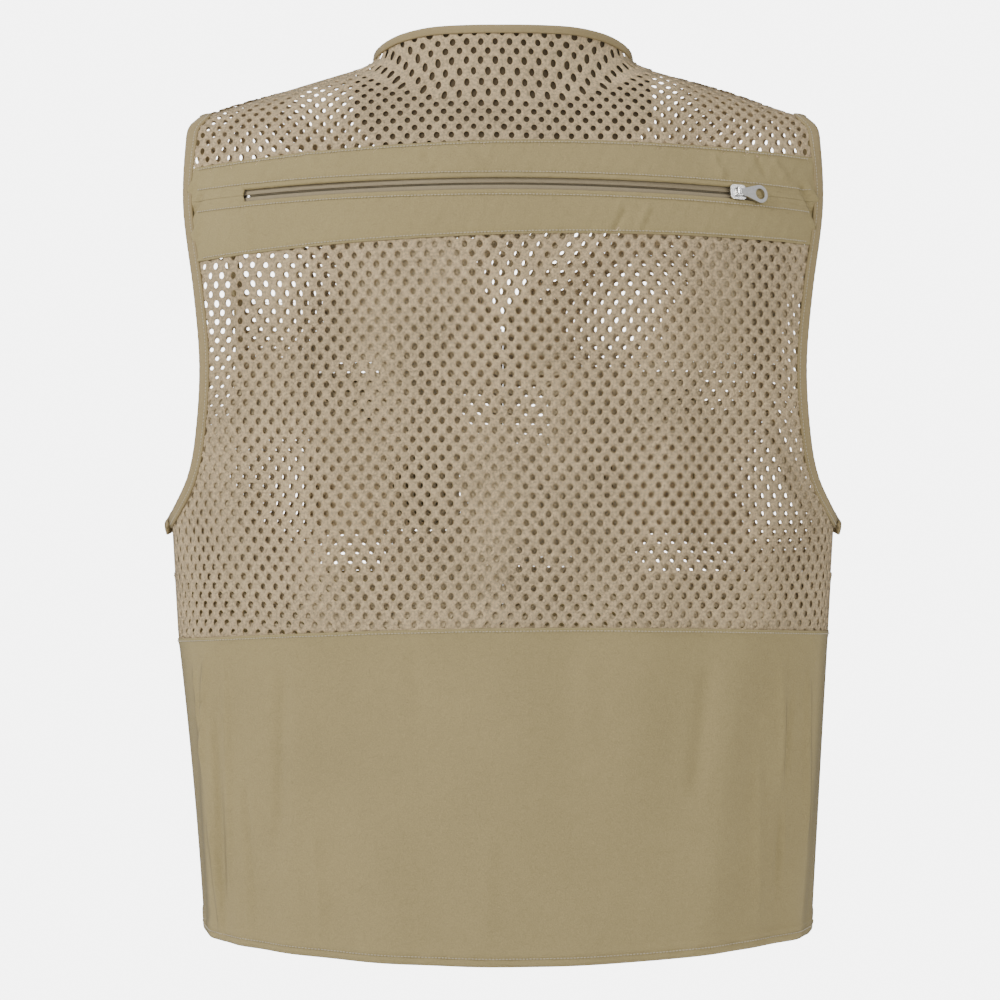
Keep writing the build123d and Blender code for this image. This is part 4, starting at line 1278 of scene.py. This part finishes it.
def front_edge(z):
    """Distance from the middle of a front's free edge: down the neckline, then straight along the zip."""
    line = smooth_line(NECKLINE)
    line = line[np.argsort(line[:, 1])]
    beside_neckline = np.maximum(np.interp(z, line[:, 1], line[:, 0]) + 0.0055, FRONT_EDGE)
    return np.where(z > line[0, 1], beside_neckline, FRONT_EDGE)


def front_yoke_seam(x):
    return np.full(len(x), FRONT_YOKE_SEAM)


def front_lower_seam(x):
    return np.full(len(x), FRONT_LOWER_SEAM)


def front_field(points, sign, top, foot):
    """Positive where a front has cloth between two seams."""
    c = cloth()
    f = form()
    keep = panel_field(points, FRONT, FRONT_ARMHOLE, c.binding / 2, top, foot)
    base = on_form(points[:, 0], points[:, 1], FRONT)
    keep = np.minimum(keep, np.abs(base[:, 0]) - front_edge(base[:, 2]))
    keep = np.minimum(keep, sign * points[:, 0])
    keep = np.minimum(keep, 0.0002 - base[:, 1])
    high = np.clip((base[:, 2] + 0.05) / 0.02, 0, 1)
    around = neck_distance(base[:, 0], base[:, 1]) - f.neck_flare + 0.003
    return np.where(high > 0, np.minimum(keep, around + (1 - high) * 0.02), keep)


def make_front_nets():
    """Net yoke and net chest panel of each front."""
    c = cloth()
    width = side_length()
    for name, sign in SIDES.items():
        span = (0, width) if sign > 0 else (-width, 0)
        spots = (("yoke", (-0.185, 0.085), None, lambda x: front_yoke_seam(x) - 0.003,
                  ("back", f"front_{name}"), "front_yoke_mesh"),
                 ("chest", (-0.395, -0.170), lambda x: front_yoke_seam(x) + 0.003,
                  lambda x: front_lower_seam(x) - c.tuck, f"front_{name}", "front_mesh_panel"))
        for label, rows, top, foot, rides, node_name in spots:
            points, faces = net_lattice(span, rows, phase=(0.002 * sign, 0.001), points_round=10)
            points, faces = trim(points, faces, front_field(points, sign, top, foot))
            inset = 0.0004 if label == "yoke" else 0.0012
            places, _ = lay(points, FRONT, inset)
            piece = new_piece(f"front_{label}_net_{name}", places, on_side(faces, FRONT), finish("net_yarn"),
                              rides, [f"{node_name}_{name}"], points)


def front_creases(u, v):
    """The same creases on a front, kept to the strip outside its pockets."""
    return lower_creases(-u, v) * np.clip((np.abs(u) - 0.215) / 0.015, 0, 1)


def make_front_lower():
    """Plain lower panel of each front with its hem."""
    c = cloth()
    width = side_length() - 0.0003
    start = float(across_of(np.array([FRONT_EDGE]), np.array([-0.5]))[0])
    for name, sign in SIDES.items():
        columns = sign * np.linspace(start, width, 120)[::sign]
        finer = [0.006, 0.012, 0.018, 0.962, 0.972, 0.98, 0.992]
        shares = np.unique(np.concatenate([np.linspace(0, 1, 70), finer]))
        points, faces = plain_grid(columns, shares)
        u = points[:, 0].copy()
        x = on_form(u, np.full(len(u), -0.43), FRONT)[:, 0]
        top, foot = front_lower_seam(x), hem_line(x, u)
        v = top + (foot - top) * points[:, 1]
        hem = np.abs(v - foot)
        fold = 0.0005 * np.clip(1.6 - (top - v) / 0.004, 0, 1)
        turned = 0.0006 * np.clip((HEM_DEPTH - hem) / 0.001, 0, 1) - 0.0004 * bump(hem, HEM_STITCH, 0.0007)
        edge = np.abs(u) - start
        placket = 0.0004 * np.clip((0.012 - edge) / 0.001, 0, 1)
        placket = placket - 0.0007 * np.clip(1 - edge / 0.0012, 0, 1) ** 2
        points = np.column_stack([u, v, fold + turned + placket + front_creases(u, v)])
        places, normals = lay(points, FRONT, 0.0002)
        both, ring = thickened(places, normals, on_side(faces[:, ::-1].tolist(), FRONT), c.thickness)
        piece = new_piece(f"front_lower_cloth_{name}", both, ring, finish("nylon"), f"front_{name}",
                          [f"front_lower_panel_{name}"], points, closed=True)
        line_u = sign * np.linspace(start + 0.003, width - 0.003, 160)
        x = on_form(line_u, np.full(160, -0.5), FRONT)[:, 0]
        runs = []
        for height in (front_lower_seam(x) - SEAM_STITCH, hem_line(x, line_u) + HEM_STITCH):
            runs.append(lay(np.column_stack([line_u, height, front_creases(line_u, height)]), FRONT, -0.0004))
        for away in (0.0022, 0.0095):
            down = np.linspace(-0.190, -0.668, 240)
            line = np.column_stack([np.full(240, sign * (start + away)), down, np.full(240, 0.0002)])
            runs.append(lay(line, FRONT, -0.0006))
        end = across_of(np.array([0.204]), np.array([FRONT_YOKE_SEAM]))[0]
        for away in (-0.0016, 0.0016):
            across = sign * np.linspace(start + 0.003, end, 120)
            row = np.column_stack([across, np.full(120, FRONT_YOKE_SEAM + away), np.full(120, 0.0004)])
            runs.append(lay(row, FRONT, 0.0))
        stitching(f"front_stitching_{name}", runs, f"front_{name}")


def make_neckline():
    """Tape bound over the neck edge of each front, from the zip up to the shoulder."""
    line = smooth_line(NECKLINE, 60)
    below = ridge(line[:, 0]) - line[:, 1]
    last = int(np.argmax(below < 0))
    share = below[last - 1] / (below[last - 1] - below[last])
    top = line[last - 1] + (line[last] - line[last - 1]) * share
    line = np.vstack([line[:last], top])
    height = top[1] - (top[1] - line[-3, 1]) * np.linspace(1, 0, 24) ** 2
    near = np.column_stack([np.interp(height, line[:, 1], line[:, 0]), height])
    line = np.vstack([line[line[:, 1] < height[0]], near])
    for name, sign in SIDES.items():
        points = at_height(line[:, 0], line[:, 1], FRONT)
        points[-1, 1] = 0.0
        normals = outward(points)
        rise = folds(across_of(line[:, 0], line[:, 1]), line[:, 1], FRONT) - 0.0006
        points = points + normals * rise[:, None]
        points[:, 0] *= sign
        normals[:, 0] *= sign
        rides = ("back", f"front_{name}")
        run = bound_edge(f"neckline_edge_{name}", points, normals, (sign, 0, -0.4), rides,
                         [f"neckline_binding_{name}"])
        stitching(f"neckline_stitching_{name}", [run], rides)


# ---------------------------------------------------------------- pockets

class PocketShape:
    """Place and size of a left pocket: its plane lies across two points of the chest."""

    def __init__(self, label, inner, outer, top, foot, shallow, deep, flap):
        f = form()
        self.label, self.top, self.foot, self.flap = label, top, foot, flap
        self.shallow, self.deep = shallow, deep
        ends = np.array([(x, -f.half_depth * math.sqrt(1 - (x / f.half_width) ** 2)) for x in (inner, outer)])
        self.start = ends[0]
        self.width = float(np.linalg.norm(ends[1] - ends[0]))
        self.along = (ends[1] - ends[0]) / self.width
        self.out = np.array([self.along[1], -self.along[0]])
        x = (inner + outer) / 2
        middle = np.array([x, -f.half_depth * math.sqrt(1 - (x / f.half_width) ** 2)])
        self.bulge = float((middle - ends[0]) @ self.out)

    def place(self, a, out, z):
        """World places from the distance along, the distance out and the height."""
        flat = self.start + np.outer(a, self.along) + np.outer(out, self.out)
        return np.column_stack([flat, z])

    def front(self, a, z):
        """Distance out of the pocket's full face."""
        share = np.clip((self.top - z) / (self.top - self.foot), 0, 1)
        level = self.bulge + 0.0006 + self.shallow + (self.deep - self.shallow) * share
        side = np.clip(1 - (2 * a / self.width - 1) ** 2, 0, 1)
        down = np.sin(np.clip(share, 0, 1) * math.pi) ** 0.8
        return level + 0.0045 * side * down * np.clip(share * 3, 0, 1)

    def chest(self, a, z):
        """Distance out where the chest's surface is."""
        low, high = np.full(len(a), -0.03), np.full(len(a), 0.06)
        for _ in range(30):
            middle = (low + high) / 2
            at = self.place(a, middle, z)
            within = -at[:, 1] < np.sqrt(np.maximum(depth_squared(at[:, 0], z), 0))
            low, high = np.where(within, middle, low), np.where(within, high, middle)
        return low


def mirrored(places, sign):
    return places * np.array([sign, 1, 1])


def pocket_bag(shape, sign, name):
    """Bellows pocket: a full front with rounded lower corners, and a pleated gusset down to the chest."""
    c = cloth()
    columns, rows = 44, 40
    radius = 0.014
    z = shape.top + (shape.foot - shape.top) * np.linspace(0, 1, rows) ** 0.9
    up = np.clip(radius - (z - shape.foot), 0, radius)
    corner = radius - np.sqrt(radius ** 2 - up ** 2)
    across = np.linspace(0, 1, columns)
    a = corner[:, None] + (shape.width - 2 * corner[:, None]) * across[None, :]
    zz = np.repeat(z[:, None], columns, axis=1)
    edge = np.minimum(np.minimum(a - corner[:, None], shape.width - corner[:, None] - a), zz - shape.foot)
    out = shape.front(a.ravel(), zz.ravel()).reshape(a.shape) - 0.0032 * np.clip(1 - edge / 0.006, 0, 1) ** 2
    out = out + 0.0005 * np.clip((0.011 - (shape.top - zz)) / 0.001, 0, 1)
    out = out + 0.0007 * np.sin(a * 95 + zz * 40) * np.clip(edge / 0.02, 0, 1)
    places = [shape.place(a.ravel(), out.ravel(), zz.ravel())]
    flat = [np.stack([a.ravel(), zz.ravel()], axis=1)]
    faces = []
    for i in range(rows - 1):
        for j in range(columns - 1):
            p = i * columns + j
            faces.append([p, p + columns, p + columns + 1, p + 1])
    left = [i * columns for i in range(rows)]
    bottom = [(rows - 1) * columns + j for j in range(1, columns - 1)]
    right = [i * columns + columns - 1 for i in range(rows)][::-1]
    rim = left + bottom + right
    ra, rz, rout = a.ravel()[rim], zz.ravel()[rim], out.ravel()[rim]
    run = np.gradient(np.stack([ra, rz], axis=1), axis=0)
    away = np.stack([run[:, 1], -run[:, 0]], axis=1)
    away /= np.maximum(np.linalg.norm(away, axis=1), 1e-9)[:, None]
    middle = np.array([shape.width / 2, (shape.top + shape.foot) / 2])
    away *= np.sign(np.sum(away * (np.stack([ra, rz], axis=1) - middle), axis=1))[:, None]
    base = shape.chest(ra, rz) - 0.0012
    length = np.concatenate([[0], np.cumsum(np.hypot(np.diff(ra), np.diff(rz)))])
    previous = rim
    total = len(places[0])
    for fraction, side in ((0.94, 0.0010), (0.84, 0.0002), (0.70, -0.0022), (0.56, -0.0040), (0.44, -0.0040),
                           (0.30, -0.0020), (0.16, 0.0002), (0.06, 0.0012), (0.0, 0.0022)):
        sway = side + 0.0006 * np.sin(length * 120 + fraction * 9) * (fraction < 0.9)
        ring = shape.place(ra + away[:, 0] * sway, base + (rout - base) * fraction, rz + away[:, 1] * sway)
        current = [total + k for k in range(len(rim))]
        for k in range(len(rim) - 1):
            faces.append([previous[k], current[k], current[k + 1], previous[k + 1]])
        places.append(ring)
        flat.append(np.stack([length, (rout - base) * fraction], axis=1))
        previous = current
        total += len(rim)
    places = mirrored(np.vstack(places), sign)
    flat = np.vstack(flat)
    normals = vertex_normals(places, faces)
    if np.mean(normals[:rows * columns, 1]) > 0:
        faces = [face[::-1] for face in faces]
        normals = -normals
    both, ring = thickened(places, normals, faces, c.thickness)
    piece = new_piece(f"{shape.label}_bag_{name}", both, ring, finish("nylon"), f"front_{name}",
                      [f"{shape.label}_pocket_{name}"], flat, closed=True)
    inset = 0.0035
    ia = np.concatenate([np.full(40, inset), np.linspace(inset, shape.width - inset, 40),
                         np.full(40, shape.width - inset)])
    down = np.linspace(shape.top - 0.001, shape.foot + inset, 40)
    up = np.linspace(shape.foot + inset, shape.top - 0.001, 40)
    iz = np.concatenate([down, np.full(40, shape.foot + inset), up])
    bend = np.clip(radius - (iz - shape.foot), 0, radius)
    turned = radius - np.sqrt(radius ** 2 - bend ** 2)
    ia = np.clip(ia, turned + inset, shape.width - turned - inset)
    io = shape.front(ia, iz) - 0.0032 * (1 - inset / 0.006) ** 2
    runs = [mirrored(shape.place(ia, io, iz), sign)]
    ia = np.linspace(0.003, shape.width - 0.003, 60)
    iz = np.full(60, shape.top - 0.0095)
    runs.append(mirrored(shape.place(ia, shape.front(ia, iz) + 0.0004, iz), sign))
    outs = np.array([shape.out[0] * sign, shape.out[1], 0.0])
    return [(run, np.repeat(outs[None], len(run), axis=0)) for run in runs]


def vertex_normals(places, faces):
    """Average directions of the faces round each point."""
    normals = np.zeros_like(places)
    quads = np.array(faces)
    n = np.cross(places[quads[:, 2]] - places[quads[:, 0]], places[quads[:, 3]] - places[quads[:, 1]])
    for k in range(4):
        np.add.at(normals, quads[:, k], n)
    return normals / np.maximum(np.linalg.norm(normals, axis=1), 1e-12)[:, None]


def pocket_flap(shape, sign, name):
    """Flap sewn above the pocket's mouth, bent down over its front, with rounded corners."""
    slope = (shape.deep - shape.shallow) / (shape.top - shape.foot)
    front_top = shape.bulge + 0.0006 + shape.shallow
    profile = np.array([(shape.bulge + 0.0024, shape.top + 0.005), (shape.bulge + 0.004, shape.top + 0.0052),
                        (front_top - 0.002, shape.top + 0.0030), (front_top + 0.0012, shape.top + 0.0018),
                        (front_top + 0.0024, shape.top - 0.0008),
                        (front_top + 0.0026 + slope * shape.flap, shape.top - shape.flap)])
    line = even(np.column_stack([profile, np.zeros(len(profile))]), 0.0016)[:, :2]
    length = np.concatenate([[0], np.cumsum(np.hypot(*np.diff(line, axis=0).T))])
    left = length[-1] - length
    radius = 0.012
    up = np.clip(radius - left, 0, radius)
    corner = radius - np.sqrt(radius ** 2 - up ** 2)
    columns = 60
    across = np.linspace(0, 1, columns)
    a = -0.003 + corner[:, None] + (shape.width + 0.006 - 2 * corner[:, None]) * across[None, :]
    z = np.repeat(line[:, 1][:, None], columns, axis=1)
    level = np.repeat(line[:, 0][:, None], columns, axis=1)
    puff = shape.front(np.clip(a, 0, shape.width).ravel(), z.ravel()).reshape(a.shape)
    flat_front = shape.bulge + 0.0006 + shape.shallow + slope * np.clip(shape.top - z, 0, None)
    level = level + np.clip(puff - flat_front, 0, None)
    edge = np.minimum(np.minimum(a + 0.003 - corner[:, None], shape.width + 0.003 - corner[:, None] - a),
                      np.repeat(left[:, None], columns, axis=1))
    level = level + 0.0008 * np.clip(length / 0.03, 0, 1)[:, None] * np.sin(a * 60 + 1)
    level = level - 0.0005 * bump(edge, 0.005, 0.0008) * (length[:, None] > 0.006)
    places = mirrored(shape.place(a.ravel(), level.ravel(), z.ravel()), sign)
    faces = []
    for i in range(len(line) - 1):
        for j in range(columns - 1):
            p = i * columns + j
            faces.append([p, p + columns, p + columns + 1, p + 1])
    normals = vertex_normals(places, faces)
    if np.mean(normals[:, 1]) > 0:
        faces = [face[::-1] for face in faces]
        normals = -normals
    flat = np.stack([a.ravel(), np.repeat(length, columns)], axis=1)
    both, ring = thickened(places, normals, faces, 0.0016)
    body = f"{shape.label}_flap_{name}"
    piece = new_piece(f"{shape.label}_flap_cloth_{name}", both, ring, finish("nylon"), body,
                      [body], flat, closed=True)
    pick = []
    inner = 0.005
    at = np.abs(left - inner).argmin()
    for i in range(4, at):
        pick.append((i, int(round((inner + 0.0003) / (shape.width + 0.006 - 2 * corner[i]) * (columns - 1)))))
    row = [(at, j) for j in range(pick[-1][1], columns - pick[-1][1])]
    other = [(i, columns - 1 - j) for i, j in pick[::-1]]
    index = [i * columns + j for i, j in pick + row + other]
    second = [8 * columns + j for j in range(2, columns - 2)]
    runs = [(places[index] + normals[index] * 0.0002, normals[index]),
            (places[second] + normals[second] * 0.0002, normals[second])]
    stitching(f"{shape.label}_flap_stitching_{name}", runs, body)
    return body


def make_pockets():
    """Four bellows pockets with their flaps and hook-and-loop patches."""
    shapes = [PocketShape(*CHEST_POCKET), PocketShape(*LOWER_POCKET)]
    for name, sign in SIDES.items():
        runs = []
        for shape in shapes:
            runs += pocket_bag(shape, sign, name)
            body = pocket_flap(shape, sign, name)
            for part, rides in (("flap", body), ("pocket", f"front_{name}")):
                patch = f"{shape.label}_{part}_patch_{name}"
                middle = (Vector(lowest(patch)) + Vector(highest(patch))) / 2
                half = shape.along * 0.017
                z = middle.z
                ends = np.array([(middle.x - sign * half[0], middle.y - half[1], z),
                                 (middle.x + sign * half[0], middle.y + half[1], z)])
                outs = np.repeat(np.array([[shape.out[0] * sign, shape.out[1], 0.0]]), 2, axis=0)
                ribbon(f"{shape.label}_{part}_bristle_{name}", ends, outs, 0.012, 0.0008, "bristle", rides,
                       [patch])
        stitching(f"pocket_stitching_{name}", runs, f"front_{name}")


# ---------------------------------------------------------------- tapes, zips and trimmings

def zip_places(level, off, x):
    """Places along the back zip, off across it and level outward, at given distances from the middle."""
    z = slot_height(x) + off
    points = at_height(x, z, BACK)
    normals = outward(points)
    return points + normals * level, normals


def make_zips():
    """Tapes and coils of both zips."""
    left, right = slot_reach()
    x = np.linspace(left + 0.005, right - 0.004, 260)
    for name, up in (("upper", 1), ("lower", -1)):
        path, outs = zip_places(-0.0034, up * 0.0054, x)
        ribbon(f"back_zip_band_{name}", path, outs, 0.0092, 0.0007, "zip_tape", "back",
               [f"back_zip_tape_{name}"])
        path, outs = zip_places(-0.0046, up * 0.0019, np.linspace(left - 0.002, right + 0.002, 260))
        coil(f"back_coil_{name}", path, outs, 0.0021, 0.0020, 0.0013, "back", [f"back_zip_coil_{name}"])
    for name, sign in SIDES.items():
        low, high = lowest(f"front_zip_tape_{name}"), highest(f"front_zip_tape_{name}")
        y = (low.y + high.y) / 2
        outs = np.repeat(np.array([[0.0, -1.0, 0.0]]), 2, axis=0)
        path = np.array([(sign * 0.0054, y, low.z), (sign * 0.0054, y, high.z)])
        ribbon(f"front_zip_band_{name}", path, outs, 0.0092, 0.0007, "zip_tape", f"front_{name}",
               [f"front_zip_tape_{name}"])
        low, high = lowest(f"front_zip_coil_{name}"), highest(f"front_zip_coil_{name}")
        path = np.array([(sign * 0.00131, (low.y + high.y) / 2, z) for z in (low.z, high.z)])
        coil(f"front_coil_{name}", path, outs, 0.00127, 0.0021, 0.0013, f"front_{name}",
             [f"front_zip_coil_{name}"])


def make_ring_tab():
    """Webbing folded through the D-ring and sewn to the left chest with two rows of stitches."""
    shape = PocketShape(*CHEST_POCKET)
    level, round_wire = shape.bulge + RING_LEVEL, 0.00236
    top = highest("ring_tab").z
    tall = top - RING_HEIGHT
    turn = np.linspace(math.pi, 2 * math.pi + 0.9, 30)
    line = np.vstack([[(-0.0026, tall), (-0.0025, 0.006)],
                      np.stack([round_wire * np.cos(turn), round_wire * np.sin(turn)], axis=1),
                      [(-0.0006, 0.0046), (-0.0012, 0.0072), (-0.00135, 0.010), (-0.00135, tall)]])
    line = even(np.column_stack([line, np.zeros(len(line))]), 0.0004)[:, :2]
    run = np.gradient(line, axis=0)
    run /= np.linalg.norm(run, axis=1)[:, None]
    path = shape.place(np.full(len(line), shape.width / 2), level + line[:, 0], RING_HEIGHT + line[:, 1])
    outs = np.column_stack([run[:, 1:] * shape.out[None], -run[:, 0]])
    ribbon("ring_tab_webbing", path, outs, 0.0186, 0.0011, "webbing", "front_left", ["ring_tab"],
           0.0005)
    runs = []
    for down in (0.0025, 0.0075):
        along = shape.width / 2 + np.linspace(-0.0078, 0.0078, 12)
        row = shape.place(along, np.full(12, level - 0.0008), np.full(12, top - down))
        runs.append((row, np.repeat(np.array([[*shape.out, 0.0]]), 12, axis=0)))
    stitching("ring_tab_stitching", runs, "front_left")


def make_trimmings():
    """Hanger loop, ring tab and the tapes inside the side seams."""
    turn = np.radians(np.linspace(184, 356, 60))
    x = 0.031 * np.cos(turn)
    z = -0.001 + 0.0125 * np.sin(turn)
    y = 0.0628 + 0.0012 * np.sin(np.linspace(0, math.pi, 60))
    path = np.stack([x, y, z], axis=1)
    outs = np.repeat(np.array([[0.0, -1.0, 0.0]]), 60, axis=0)
    ribbon("hanger_loop_tape", path, outs, 0.005, 0.0012, "webbing", "back", ["hanger_loop"])
    for name, sign in SIDES.items():
        z = np.linspace(-0.360, -0.640, 60)
        x = half_width(z) - 0.0034 - drawn_in(sign * side_length(), z)
        y = np.full(60, 0.0045)
        path = np.stack([sign * (x - 0.0006), y, z], axis=1)
        outs = np.repeat(np.array([[sign * 1.0, 0.10, 0.0]]), 60, axis=0)
        ribbon(f"side_seam_band_{name}", path, outs, 0.008, 0.0008, "zip_tape", "back",
               [f"side_seam_tape_{name}"])
    make_ring_tab()
    finish_cad()


def finish_cad():
    """Finish for the metal solids, which stay in sight."""
    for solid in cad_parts.values():
        for index, material in enumerate(solid.data.materials):
            if material.name.split(".")[0] == "zip_metal":
                solid.data.materials[index] = finish("plated_metal")


# ---------------------------------------------------------------- stage

def make_stage_objects():
    """Pale floor, soft studio light and the camera behind the vest."""
    scene = bpy.context.scene
    floor_height = CAD_BOX[0][2] - 0.55
    floor_radius = 3.2
    turns = np.linspace(0, 2 * math.pi, 96, endpoint=False)
    ring = [(floor_radius * math.cos(t), floor_radius * math.sin(t), floor_height) for t in turns]
    mesh = bpy.data.meshes.new("floor")
    mesh.from_pydata(ring, [], [list(range(96))])
    floor = bpy.data.objects.new("floor", mesh)
    scene.collection.objects.link(floor)
    pale = bpy.data.materials.new("pale_floor")
    pale.use_nodes = True
    pale.node_tree.nodes["Principled BSDF"].inputs["Base Color"].default_value = (0.90, 0.90, 0.89, 1)
    pale.node_tree.nodes["Principled BSDF"].inputs["Roughness"].default_value = 0.9
    mesh.materials.append(pale)
    world = bpy.data.worlds.new("studio")
    scene.world = world
    world.use_nodes = True
    tree = world.node_tree
    tree.nodes["Background"].inputs["Color"].default_value = (1, 1, 1, 1)
    seen = node(tree, "ShaderNodeLightPath", (-600, 0))
    strength = node(tree, "ShaderNodeMapRange", (-300, 0))
    strength.inputs["To Min"].default_value = 0.72
    strength.inputs["To Max"].default_value = 6.0
    tree.links.new(seen.outputs["Is Camera Ray"], strength.inputs["Value"])
    tree.links.new(strength.outputs[0], tree.nodes["Background"].inputs["Strength"])
    for name, place, power, size in (("key", (1.9, 1.5, 1.2), 62, 0.9), ("fill", (-1.8, 1.9, 0.5), 22, 1.2),
                                     ("front", (0.8, -2.2, 1.0), 36, 1.6)):
        light = bpy.data.lights.new(name, "AREA")
        light.energy = power
        light.size = size
        lamp = bpy.data.objects.new(name, light)
        lamp.location = place
        aim = Vector((0, 0, -0.3)) - Vector(place)
        lamp.rotation_euler = aim.to_track_quat("-Z", "Y").to_euler()
        scene.collection.objects.link(lamp)
    camera = bpy.data.cameras.new("camera")
    camera.lens = 166.0
    camera.sensor_width = 36.0
    eye = bpy.data.objects.new("camera", camera)
    eye.location = (0.0023, 3.5, -0.330)
    eye.rotation_euler = (math.radians(90), 0, math.radians(180))
    scene.collection.objects.link(eye)
    scene.camera = eye


# ---------------------------------------------------------------- operators

class VEST_OT_stage(bpy.types.Operator):
    """Floor, lights and camera"""
    bl_idname = "vest.stage"
    bl_label = "Stage"

    def execute(self, context):
        make_stage_objects()
        return {"FINISHED"}


class VEST_OT_finishes(bpy.types.Operator):
    """Cloth, net, thread and metal finishes"""
    bl_idname = "vest.finishes"
    bl_label = "Finishes"

    def execute(self, context):
        make_finishes()
        return {"FINISHED"}


class VEST_OT_back(bpy.types.Operator):
    """Back panels, zip band and pocket net"""
    bl_idname = "vest.back"
    bl_label = "Back"

    def execute(self, context):
        make_back_net()
        make_pocket_net()
        make_yoke_net()
        make_neck_facing()
        make_zip_band()
        make_back_lower_cloth()
        return {"FINISHED"}


class VEST_OT_edges(bpy.types.Operator):
    """Armhole bindings and the collar"""
    bl_idname = "vest.edges"
    bl_label = "Bound edges and collar"

    def execute(self, context):
        make_armhole_bindings()
        make_collar()
        return {"FINISHED"}


class VEST_OT_fronts(bpy.types.Operator):
    """Net and plain panels of the two fronts and their neckline"""
    bl_idname = "vest.fronts"
    bl_label = "Fronts"

    def execute(self, context):
        make_front_nets()
        make_front_lower()
        make_neckline()
        return {"FINISHED"}


class VEST_OT_pockets(bpy.types.Operator):
    """Four bellows pockets with flaps"""
    bl_idname = "vest.pockets"
    bl_label = "Pockets"

    def execute(self, context):
        make_pockets()
        return {"FINISHED"}


class VEST_OT_trimmings(bpy.types.Operator):
    """Zips, tapes, loop and ring tab"""
    bl_idname = "vest.trimmings"
    bl_label = "Zips and trimmings"

    def execute(self, context):
        make_zips()
        make_trimmings()
        return {"FINISHED"}


class VEST_PT_panel(bpy.types.Panel):
    """Lists the vest's pieces in the sidebar"""
    bl_idname = "VEST_PT_panel"
    bl_label = "Fishing vest"
    bl_space_type = "VIEW_3D"
    bl_region_type = "UI"
    bl_category = "Vest"

    def draw(self, context):
        for operator in OPERATORS:
            self.layout.operator(operator.bl_idname)


GROUPS = (VestForm, VestCloth, VestColours)
OPERATORS = (VEST_OT_stage, VEST_OT_finishes, VEST_OT_back, VEST_OT_edges, VEST_OT_fronts, VEST_OT_pockets,
             VEST_OT_trimmings)
SETTINGS = {"vest_form": VestForm, "vest_cloth": VestCloth, "vest_colours": VestColours}


def register():
    for kind in GROUPS + OPERATORS + (VEST_PT_panel,):
        bpy.utils.register_class(kind)
    for name, kind in SETTINGS.items():
        setattr(bpy.types.Scene, name, PointerProperty(type=kind))


def unregister():
    for name in SETTINGS:
        delattr(bpy.types.Scene, name)
    for kind in reversed(GROUPS + OPERATORS + (VEST_PT_panel,)):
        bpy.utils.unregister_class(kind)


def main():
    register()
    bpy.ops.vest.stage()
    bpy.ops.vest.finishes()
    bpy.ops.vest.back()
    bpy.ops.vest.edges()
    bpy.ops.vest.fronts()
    bpy.ops.vest.pockets()
    bpy.ops.vest.trimmings()


if __name__ == "__main__":
    main()
